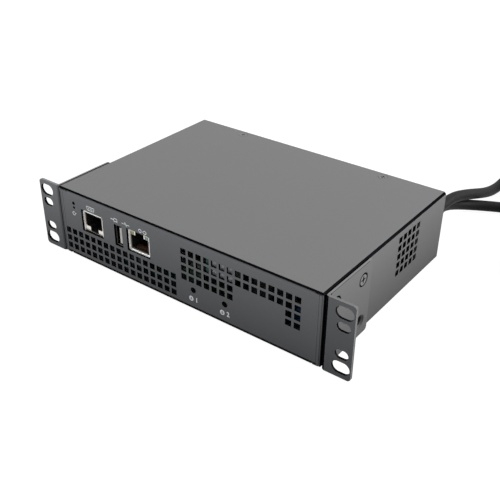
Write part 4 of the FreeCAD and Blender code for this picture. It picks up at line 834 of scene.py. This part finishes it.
cordFacts = {
    "width": 7.0 * mm,
    "length": 1.8,
    "turnPoints": 16,
    "radii": (49.0, 42.0, 35.0, 35.0, 42.0, 49.0, 49.0),
    "heights": (3.6, 3.6, 3.6, 10.5, 10.5, 10.5, 10.5),
    "turns": 6.25,
    "changeOver": 0.82,  # share of a turn after which it moves over to the next
    "leads": (10.0, 19.0, 28.0),  # points of the straight end that runs into the plug
}
cordRoutes = {
    "cordUpper": {
        "exit": (80.0, 84.0, 22.0),
        "points": [
            (80.0, 84.0, 22.0),
            (80.0, 92.5, 22.0),
            (80.2, 102.5, 21.2),
            (80.9, 113.0, 19.1),
            (82.2, 124.0, 16.0),
            (83.8, 135.5, 12.4),
            (85.2, 147.5, 8.6),
            (85.9, 160.0, 5.4),
            (86.0, 172.5, 3.7),
            (86.0, 185.0, 3.6),
            (86.0, 199.0, 3.6),
        ],
        "middle": (135.0, 213.0),
        "enters": 180.0,
        "replaces": ("cord_1", "cord_coil_1"),
        "pieces": ("cord_gland_1", "cord_plug_1"),
    },
    "cordLower": {
        "exit": (73.5, 84.0, 13.6),
        "points": [
            (73.5, 84.0, 13.6),
            (73.5, 92.5, 13.6),
            (73.5, 102.0, 12.8),
            (74.2, 112.0, 10.6),
            (76.6, 121.8, 7.8),
            (81.8, 130.8, 5.4),
            (89.8, 138.4, 4.0),
            (100.5, 144.6, 3.6),
            (114.0, 148.6, 3.6),
            (129.0, 150.0, 3.6),
            (148.0, 150.0, 3.6),
            (162.0, 150.0, 3.6),
        ],
        "middle": (176.0, 101.0),
        "enters": 90.0,
        "replaces": ("cord_2", "cord_coil_2"),
        "pieces": ("cord_gland_2", "cord_plug_2"),
    },
}


def coilPoints(middle, enters, facts):
    # Control points of the wound turns, clockwise from where the cord comes in.
    points = []
    count = facts["turnPoints"]
    # the control points lie outside the wanted circle by this factor
    swell = 1 / (0.75 + 0.25 * math.cos(math.tau / count))
    for step in range(int(facts["turns"] * count) + 1):
        turn, share = divmod(step / count, 1.0)
        turn = int(turn)
        over = max(0.0, (share - facts["changeOver"]) / (1 - facts["changeOver"]))
        after = min(turn + 1, len(facts["radii"]) - 1)
        radius = facts["radii"][turn] * (1 - over) + facts["radii"][after] * over
        height = facts["heights"][turn] * (1 - over) + facts["heights"][after] * over
        angle = math.radians(enters - 360.0 * step / count)
        x = middle[0] + radius * swell * math.cos(angle)
        y = middle[1] + radius * swell * math.sin(angle)
        points.append((x, y, height))
    return points


def makeTube(name, points, radius, around, along):
    # A round tube along a smooth line near the points, in millimetres.
    curve = bpy.data.curves.new(name, "CURVE")
    curve.dimensions = "3D"
    curve.bevel_depth = radius
    curve.bevel_resolution = around
    curve.resolution_u = along
    curve.use_fill_caps = True
    line = curve.splines.new("NURBS")
    line.points.add(len(points) - 1)
    for spot, point in zip(line.points, points):
        spot.co = tuple(number * mm for number in point) + (1,)
    line.order_u = 3
    line.use_endpoint_u = True
    tube = bpy.data.objects.new(name, curve)
    bpy.context.scene.collection.objects.link(tube)
    return tube


def makeCord(name, route, facts):
    points = route["points"] + coilPoints(route["middle"], route["enters"], facts)
    last = math.radians(route["enters"] - 360.0 * facts["turns"])
    middle, height = Vector(route["middle"]), facts["heights"][-1]
    leave = middle + facts["radii"][-1] * Vector((math.cos(last), math.sin(last)))
    along = Vector((math.sin(last), -math.cos(last)))
    points += [(*(leave + along * reach), height) for reach in facts["leads"]]
    cord = makeTube(name, points, facts["width"] / 2, 5, 5)
    cord.data.materials.append(finishes["cordRubber"])
    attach(cord, "unit")
    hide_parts(*route["replaces"])


for name, route in cordRoutes.items():
    makeCord(name, route, cordFacts)
print("cords laid")

# USB tongue, closed nuts behind the ears' empty lower holes, and the service header's pins

tongueFacts = {
    "blade": ((-43.8, -65.0, 22.1), (-42.0, -51.0, 32.1)),
    "rear": ((-46.35, -53.6, 20.9), (-41.45, -50.6, 33.25)),
    "post": ((-46.3, -50.6, 20.9), (-41.5, -48.6, 34.2)),
    "soft": 0.25,
}
nutFacts = {
    "radius": 3.5,
    "neck": 2.6,
    "flange": 2.5,
    "overlap": 0.4,
    "length": 5.6,
    "soft": (0.4, 0.6),
    "wall": 88.4,
    "height": 9.4,
    "rows": (-57.4, -32.0),
}
headerFacts = {
    "columns": (-38.4, -35.87, -33.33, -30.8),
    "rows": (-60.9, -58.36),
    "low": 17.0,
    "top": 20.2,
    "radius": 0.34,
    "soft": 0.12,
}


def makeTongue(facts):
    form = bmesh.new()
    for part in ("blade", "rear", "post"):
        addBlock(form, *facts[part], facts["soft"])
    finishPiece("usbTongue", form, "usbTongue", replaces=("usb_tongue",))


def makeBlindNuts(facts):
    form = bmesh.new()
    z = facts["height"]
    for side in (-1, 1):
        wall, near, neck, far = (
            side * (facts["wall"] - reach)
            for reach in (0.0, facts["flange"], facts["flange"] - facts["overlap"], facts["length"])
        )
        for row in facts["rows"]:
            addRod(form, (wall, row, z), (near, row, z), facts["radius"], facts["soft"][0])
            addRod(form, (neck, row, z), (far, row, z), facts["neck"], facts["soft"][1])
    # black in place of zinc plate: painted shade behind the empty holes
    finishPiece("blindNuts", form, "jackBlack", smooth=True)


def makeHeaderPins(facts):
    form = bmesh.new()
    for x in facts["columns"]:
        for y in facts["rows"]:
            addRod(form, (x, y, facts["low"]), (x, y, facts["top"]), facts["radius"], facts["soft"], 8)
    finishPiece("headerPins", form, "brassPlain", smooth=True)


makeTongue(tongueFacts)
makeBlindNuts(nutFacts)
makeHeaderPins(headerFacts)
print("tongue, nuts and header pins made")

# Rolled rims of the two jacks' shields, and fillers in the reliefs of the tray's front corners

rimFacts = {
    "front": (-65.1, -64.55),
    "width": 0.85,
    # bars in millimetres: left, right, foot, top
    "bars": [
        (-73.15, -56.85, 33.15, 34.3),
        (-73.15, -72.3, 20.8, 34.3),
        (-57.8, -56.85, 20.8, 34.3),
        (-36.95, -20.65, 20.8, 21.55),
        (-36.95, -36.1, 20.8, 34.3),
        (-21.5, -20.65, 20.8, 34.3),
        (-36.95, -32.4, 33.55, 34.3),
        (-25.2, -20.65, 33.55, 34.3),
    ],
    "soft": 0.05,
}
cornerFacts = {"low": (85.2, -65.995, 40.95), "high": (86.4, -65.0, 42.6)}


def makeRims(facts):
    form = bmesh.new()
    near, far = facts["front"]
    for left, right, foot, top in facts["bars"]:
        addBlock(form, (left, near, foot), (right, far, top), facts["soft"])
    finishPiece("jackRims", form, "frameTin")


def makeCorners(facts):
    form = bmesh.new()
    (x0, y0, z0), (x1, y1, z1) = facts["low"], facts["high"]
    addBlock(form, (x0, y0, z0), (x1, y1, z1))
    addBlock(form, (-x1, y0, z0), (-x0, y1, z1))
    finishPiece("frontCorners", form, "trayCoat")


makeRims(rimFacts)
makeCorners(cornerFacts)
print("rims and corners made")

# Ribs round the strain reliefs at the rear

ribFacts = {
    "glands": ((80.0, 22.0), (73.5, 13.6)),
    "rows": (68.6, 71.4, 74.2, 77.0, 79.8),
    "start": (66.2, 4.72),  # place along the relief and its radius there
    "end": (84.0, 4.1),
    "stand": 0.45,
    "root": 0.5,
    "shoulder": 0.27,
    "width": 1.3,
    "steps": 32,
}


def makeReliefRibs(facts):
    form = bmesh.new()
    (nearY, nearRadius), (farY, farRadius) = facts["start"], facts["end"]
    for x, z in facts["glands"]:
        for row in facts["rows"]:
            radius = nearRadius + (farRadius - nearRadius) * (row - nearY) / (farY - nearY)
            half, crown = facts["width"] / 2, facts["width"] / 4
            outline = [
                (-facts["root"], -half),
                (facts["shoulder"], -half),
                (facts["stand"], -crown),
                (facts["stand"], crown),
                (facts["shoulder"], half),
                (-facts["root"], half),
            ]
            corners = [
                form.verts.new(((x + radius + reach) * mm, (row + along) * mm, z * mm))
                for reach, along in outline
            ]
            edges = [form.edges.new(pair) for pair in zip(corners, corners[1:] + corners[:1])]
            bmesh.ops.spin(
                form,
                geom=corners + edges,
                cent=(x * mm, row * mm, z * mm),
                axis=(0, 1, 0),
                angle=math.tau,
                steps=facts["steps"],
                use_merge=True,
                use_duplicate=False,
            )
    finishPiece("reliefRibs", form, "plugRubber", smooth=True)


makeReliefRibs(ribFacts)
print("relief ribs made")

# Parts on the boards, seen with the cover off

chokeFacts = {
    "middle": (-4.0, -44.0, 18.9),
    "ring": 7.2,
    "wound": 3.95,
    "wire": 0.5,
    "turns": 20,
    "steps": 10,
    "from": -55.0,
    "to": 235.0,
}
chipFacts = {
    "low": (-57.0, -29.0),
    "high": (-43.0, -15.0),
    "board": 35.9,
    "legs": 14,
    "leg": (0.4, 1.1, 0.35),  # width, length, height
}
smallPartFacts = {
    # of each row: first part's middle x and y, step x and y, count, size
    "chipCeramic": [
        ((-40.0, -28.0), (0, 2.6), 6, (2.0, 1.25, 0.9)),
        ((-36.5, -28.0), (0, 2.6), 6, (2.0, 1.25, 0.9)),
        ((-60.0, -27.0), (0, 2.4), 5, (1.6, 0.9, 0.8)),
        ((-56.0, -11.5), (3.2, 0), 5, (1.3, 2.0, 0.9)),
        ((-24.0, -30.0), (0, 3.4), 4, (3.2, 2.2, 1.6)),
    ],
    "chipResin": [
        ((-64.5, -27.5), (0, 2.4), 6, (1.6, 0.9, 0.5)),
        ((-32.0, -20.0), (0, 7.5), 2, (5.0, 5.6, 1.3)),
        ((-70.5, -22.0), (0, 9.0), 2, (6.0, 4.2, 1.5)),
        ((-56.0, -33.0), (3.0, 0), 5, (0.9, 1.7, 0.5)),
    ],
    "solderTin": [
        ((-50.0, -4.0), (12.0, 0), 2, (4.8, 3.4, 1.3)),
        ((-66.0, -8.0), (3.4, 0), 3, (1.2, 2.4, 0.6)),
    ],
}
smallPartSoft = 0.12
capTopFacts = {
    "places": ((0.0, -20.0), (0.0, -5.0)),
    "radius": 5.1,
    "top": 27.75,
    "sunk": 0.2,
    "lid": 0.12,
    "soft": (0.1, 0.04),
    "score": (7.0, 0.5, 0.12),  # length, width, height of each bar of the cross
}
terminalFacts = {
    "blocks": (48.0, 65.0, 30.0, -16.0),
    "pitch": 5.0,
    "row": 18.5,
    "top": 18.75,
    "radius": 1.45,
    "sunk": 0.5,
    "rise": 0.35,
    "soft": 0.15,
}


def makeChokeWinding(facts):
    points = []
    count = facts["turns"] * facts["steps"]
    x0, y0, z0 = facts["middle"]
    for step in range(count + 1):
        share = step / count
        ringTurn = math.radians(facts["from"] + (facts["to"] - facts["from"]) * share)
        wireTurn = math.tau * facts["turns"] * share
        reach = facts["ring"] + facts["wound"] * math.cos(wireTurn)
        depth = facts["wound"] * math.sin(wireTurn)
        points.append((x0 + reach * math.cos(ringTurn), y0 + depth, z0 + reach * math.sin(ringTurn)))
    loose = makeTube("chokeLoose", points, facts["wire"] * mm, 2, 2)
    bpy.context.view_layer.update()
    form = bmesh.new()
    form.from_mesh(bpy.data.meshes.new_from_object(loose))
    bpy.data.objects.remove(loose)
    finishPiece("chokeWinding", form, "enamelWire", smooth=True)


def makeChipLegs(facts):
    form = bmesh.new()
    wide, long, tall = facts["leg"]
    foot, top = facts["board"], facts["board"] + tall
    for number in range(facts["legs"]):
        share = (number + 0.5) / facts["legs"]
        x, y = (low + (high - low) * share for low, high in zip(facts["low"], facts["high"]))
        for edge, sign in ((facts["low"], -1), (facts["high"], 1)):
            near, far = sorted((edge[1], edge[1] + sign * long))
            addBlock(form, (x - wide / 2, near, foot), (x + wide / 2, far, top))
            near, far = sorted((edge[0], edge[0] + sign * long))
            addBlock(form, (near, y - wide / 2, foot), (far, y + wide / 2, top))
    finishPiece("chipLegs", form, "solderTin")


def makeSmallParts(facts):
    names = {"chipCeramic": "ceramicParts", "chipResin": "resinParts", "solderTin": "metalParts"}
    for finish, rows in facts.items():
        form = bmesh.new()
        for (x0, y0), (stepX, stepY), count, (wide, long, tall) in rows:
            for number in range(count):
                x, y, foot = x0 + stepX * number, y0 + stepY * number, chipFacts["board"]
                high = (x + wide / 2, y + long / 2, foot + tall)
                addBlock(form, (x - wide / 2, y - long / 2, foot), high, smallPartSoft)
        finishPiece(names[finish], form, finish)


def makeCapTops(facts):
    form = bmesh.new()
    wide, narrow, tall = facts["score"]
    top, lid = facts["top"], facts["top"] + facts["lid"]
    for x, y in facts["places"]:
        addRod(form, (x, y, top - facts["sunk"]), (x, y, lid), facts["radius"], facts["soft"][0], 32)
        for along, across in ((wide, narrow), (narrow, wide)):
            high = (x + along / 2, y + across / 2, lid + tall)
            addBlock(form, (x - along / 2, y - across / 2, top), high, facts["soft"][1])
    finishPiece("capacitorTops", form, "solderTin", smooth=True)


def makeTerminalScrews(facts):
    form = bmesh.new()
    foot, top = facts["top"] - facts["sunk"], facts["top"] + facts["rise"]
    for block in facts["blocks"]:
        for number in (-1, 0, 1):
            x, y = block + number * facts["pitch"], facts["row"]
            addRod(form, (x, y, foot), (x, y, top), facts["radius"], facts["soft"], 20)
    finishPiece("terminalScrews", form, "zincPlate", smooth=True)


makeChokeWinding(chokeFacts)
makeChipLegs(chipFacts)
makeSmallParts(smallPartFacts)
makeCapTops(capTopFacts)
makeTerminalScrews(terminalFacts)
print("board parts made")

# Printed marks on the front

printFacts = {
    "face": -66.0 * mm,
    "thickness": 0.03 * mm,
    "numeralSize": 4.06 * mm,
    "numeralBold": 0.08 * mm,
    "steps": 28,
    "sameArea": 1e-13,
    "numerals": {"1": (12.6, 7.3), "2": (33.9, 7.3)},
    # bars: middle x and z, width, height, turn
    # hoops: middle x and z, outer and inner radius, sweep, start
    "marks": {
        "resetMark": [("hoop", -79.9, 29.6, 1.3, 0.8, 290.0, 20.0), ("bar", -78.5, 30.0, 1.0, 0.5, 45.0)],
        "serialMark": [
            ("bar", -65.3, 38.1, 6.4, 0.5),
            ("bar", -65.3, 35.9, 5.2, 0.5),
            ("bar", -68.1, 37.0, 0.5, 2.3, -14.0),
            ("bar", -62.5, 37.0, 0.5, 2.3, 14.0),
            ("bar", -66.6, 37.0, 0.7, 0.7),
            ("bar", -65.3, 37.0, 0.7, 0.7),
            ("bar", -64.0, 37.0, 0.7, 0.7),
        ],
        "memoryMark": [
            ("bar", -45.4, 37.6, 2.8, 0.55),
            ("bar", -45.4, 35.8, 2.8, 0.55),
            ("bar", -44.1, 36.7, 0.55, 2.2),
            ("bar", -46.7, 36.7, 0.55, 2.2),
            ("bar", -48.0, 36.7, 2.2, 0.6),
        ],
        "statusMark": [
            ("bar", -39.6, 36.6, 1.8, 0.5),
            ("bar", -38.2, 37.2, 0.5, 1.8, 20.0),
            ("bar", -37.4, 36.7, 0.5, 2.6, -20.0),
            ("bar", -36.7, 36.3, 0.5, 1.4, 20.0),
            ("bar", -35.5, 36.6, 1.9, 0.5),
        ],
        "linkMark": [
            ("hoop", -26.6, 36.5, 1.2, 0.7),
            ("hoop", -23.0, 36.5, 1.2, 0.7),
            ("bar", -24.8, 36.5, 2.6, 0.5),
        ],
    },
    "outletMarks": {"outletMark1": (8.8, 7.3), "outletMark2": (30.1, 7.3)},
}
for name, (x, z) in printFacts["outletMarks"].items():
    bars = [("bar", x + side, z + 0.2, 0.4, 1.0) for side in (-0.5, 0.5)]
    printFacts["marks"][name] = [("hoop", x, z, 1.5, 0.9)] + bars


def makeNumeral(text, x, z, facts):
    curve = bpy.data.curves.new("numeral" + text, "FONT")
    curve.body = text
    curve.size = facts["numeralSize"]
    curve.align_x = "CENTER"
    curve.align_y = "CENTER"
    curve.extrude = facts["thickness"]
    curve.offset = facts["numeralBold"]
    letter = bpy.data.objects.new("numeral" + text, curve)
    bpy.context.scene.collection.objects.link(letter)
    bpy.context.view_layer.update()
    mesh = bpy.data.meshes.new_from_object(letter)
    bpy.data.objects.remove(letter)
    mesh.transform(Matrix.Rotation(math.radians(90), 4, "X"))
    mesh.transform(Matrix.Translation((x * mm, facts["face"], z * mm)))
    mesh.materials.clear()
    mesh.materials.append(finishes["printWhite"])
    numeral = bpy.data.objects.new("printedNumeral" + text, mesh)
    bpy.context.scene.collection.objects.link(numeral)
    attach(numeral, "unit")


def addPlate(form, x, z, width, height, turn=0.0):
    # A thin printed bar on the front face, its middle at x and z, in millimetres.
    made = bmesh.ops.create_cube(form, size=1.0)["verts"]
    bmesh.ops.scale(form, verts=made, vec=(width * mm, 2 * printFacts["thickness"], height * mm))
    bmesh.ops.rotate(form, verts=made, cent=(0, 0, 0), matrix=Matrix.Rotation(math.radians(turn), 3, "Y"))
    bmesh.ops.translate(form, verts=made, vec=(x * mm, printFacts["face"], z * mm))


def addHoop(form, x, z, outer, inner, sweep=360.0, start=0.0):
    # A thin printed ring or arc: a narrow profile spun round its middle.
    middle = Vector((x * mm, printFacts["face"], z * mm))
    half = printFacts["thickness"]
    ring = [(inner, -half), (outer, -half), (outer, half), (inner, half)]
    corners = [form.verts.new(middle + Vector((radius * mm, depth, 0))) for radius, depth in ring]
    face = form.faces.new(corners)
    turn = Matrix.Rotation(math.radians(start), 3, "Y")
    bmesh.ops.rotate(form, verts=corners, cent=middle, matrix=turn)
    whole = sweep >= 360
    bmesh.ops.spin(
        form,
        geom=[face],
        cent=middle,
        axis=(0, 1, 0),
        angle=math.radians(sweep),
        steps=printFacts["steps"],
        use_merge=whole,
        use_duplicate=False,
    )
    if whole:
        # the profile itself is left inside the closed ring
        area = (outer - inner) * mm * 2 * half
        inside = [item for item in form.faces if abs(item.calc_area() - area) < printFacts["sameArea"]]
        bmesh.ops.delete(form, geom=inside, context="FACES_ONLY")


def makeMarks():
    # Plain pictograms in place of words: reset, serial port, memory port, status, link, outlets.
    for name, parts in printFacts["marks"].items():
        form = bmesh.new()
        for kind, *numbers in parts:
            (addPlate if kind == "bar" else addHoop)(form, *numbers)
        finishPiece(name, form, "printWhite")


for text, (x, z) in printFacts["numerals"].items():
    makeNumeral(text, x, z, printFacts)
makeMarks()
print("marks printed")
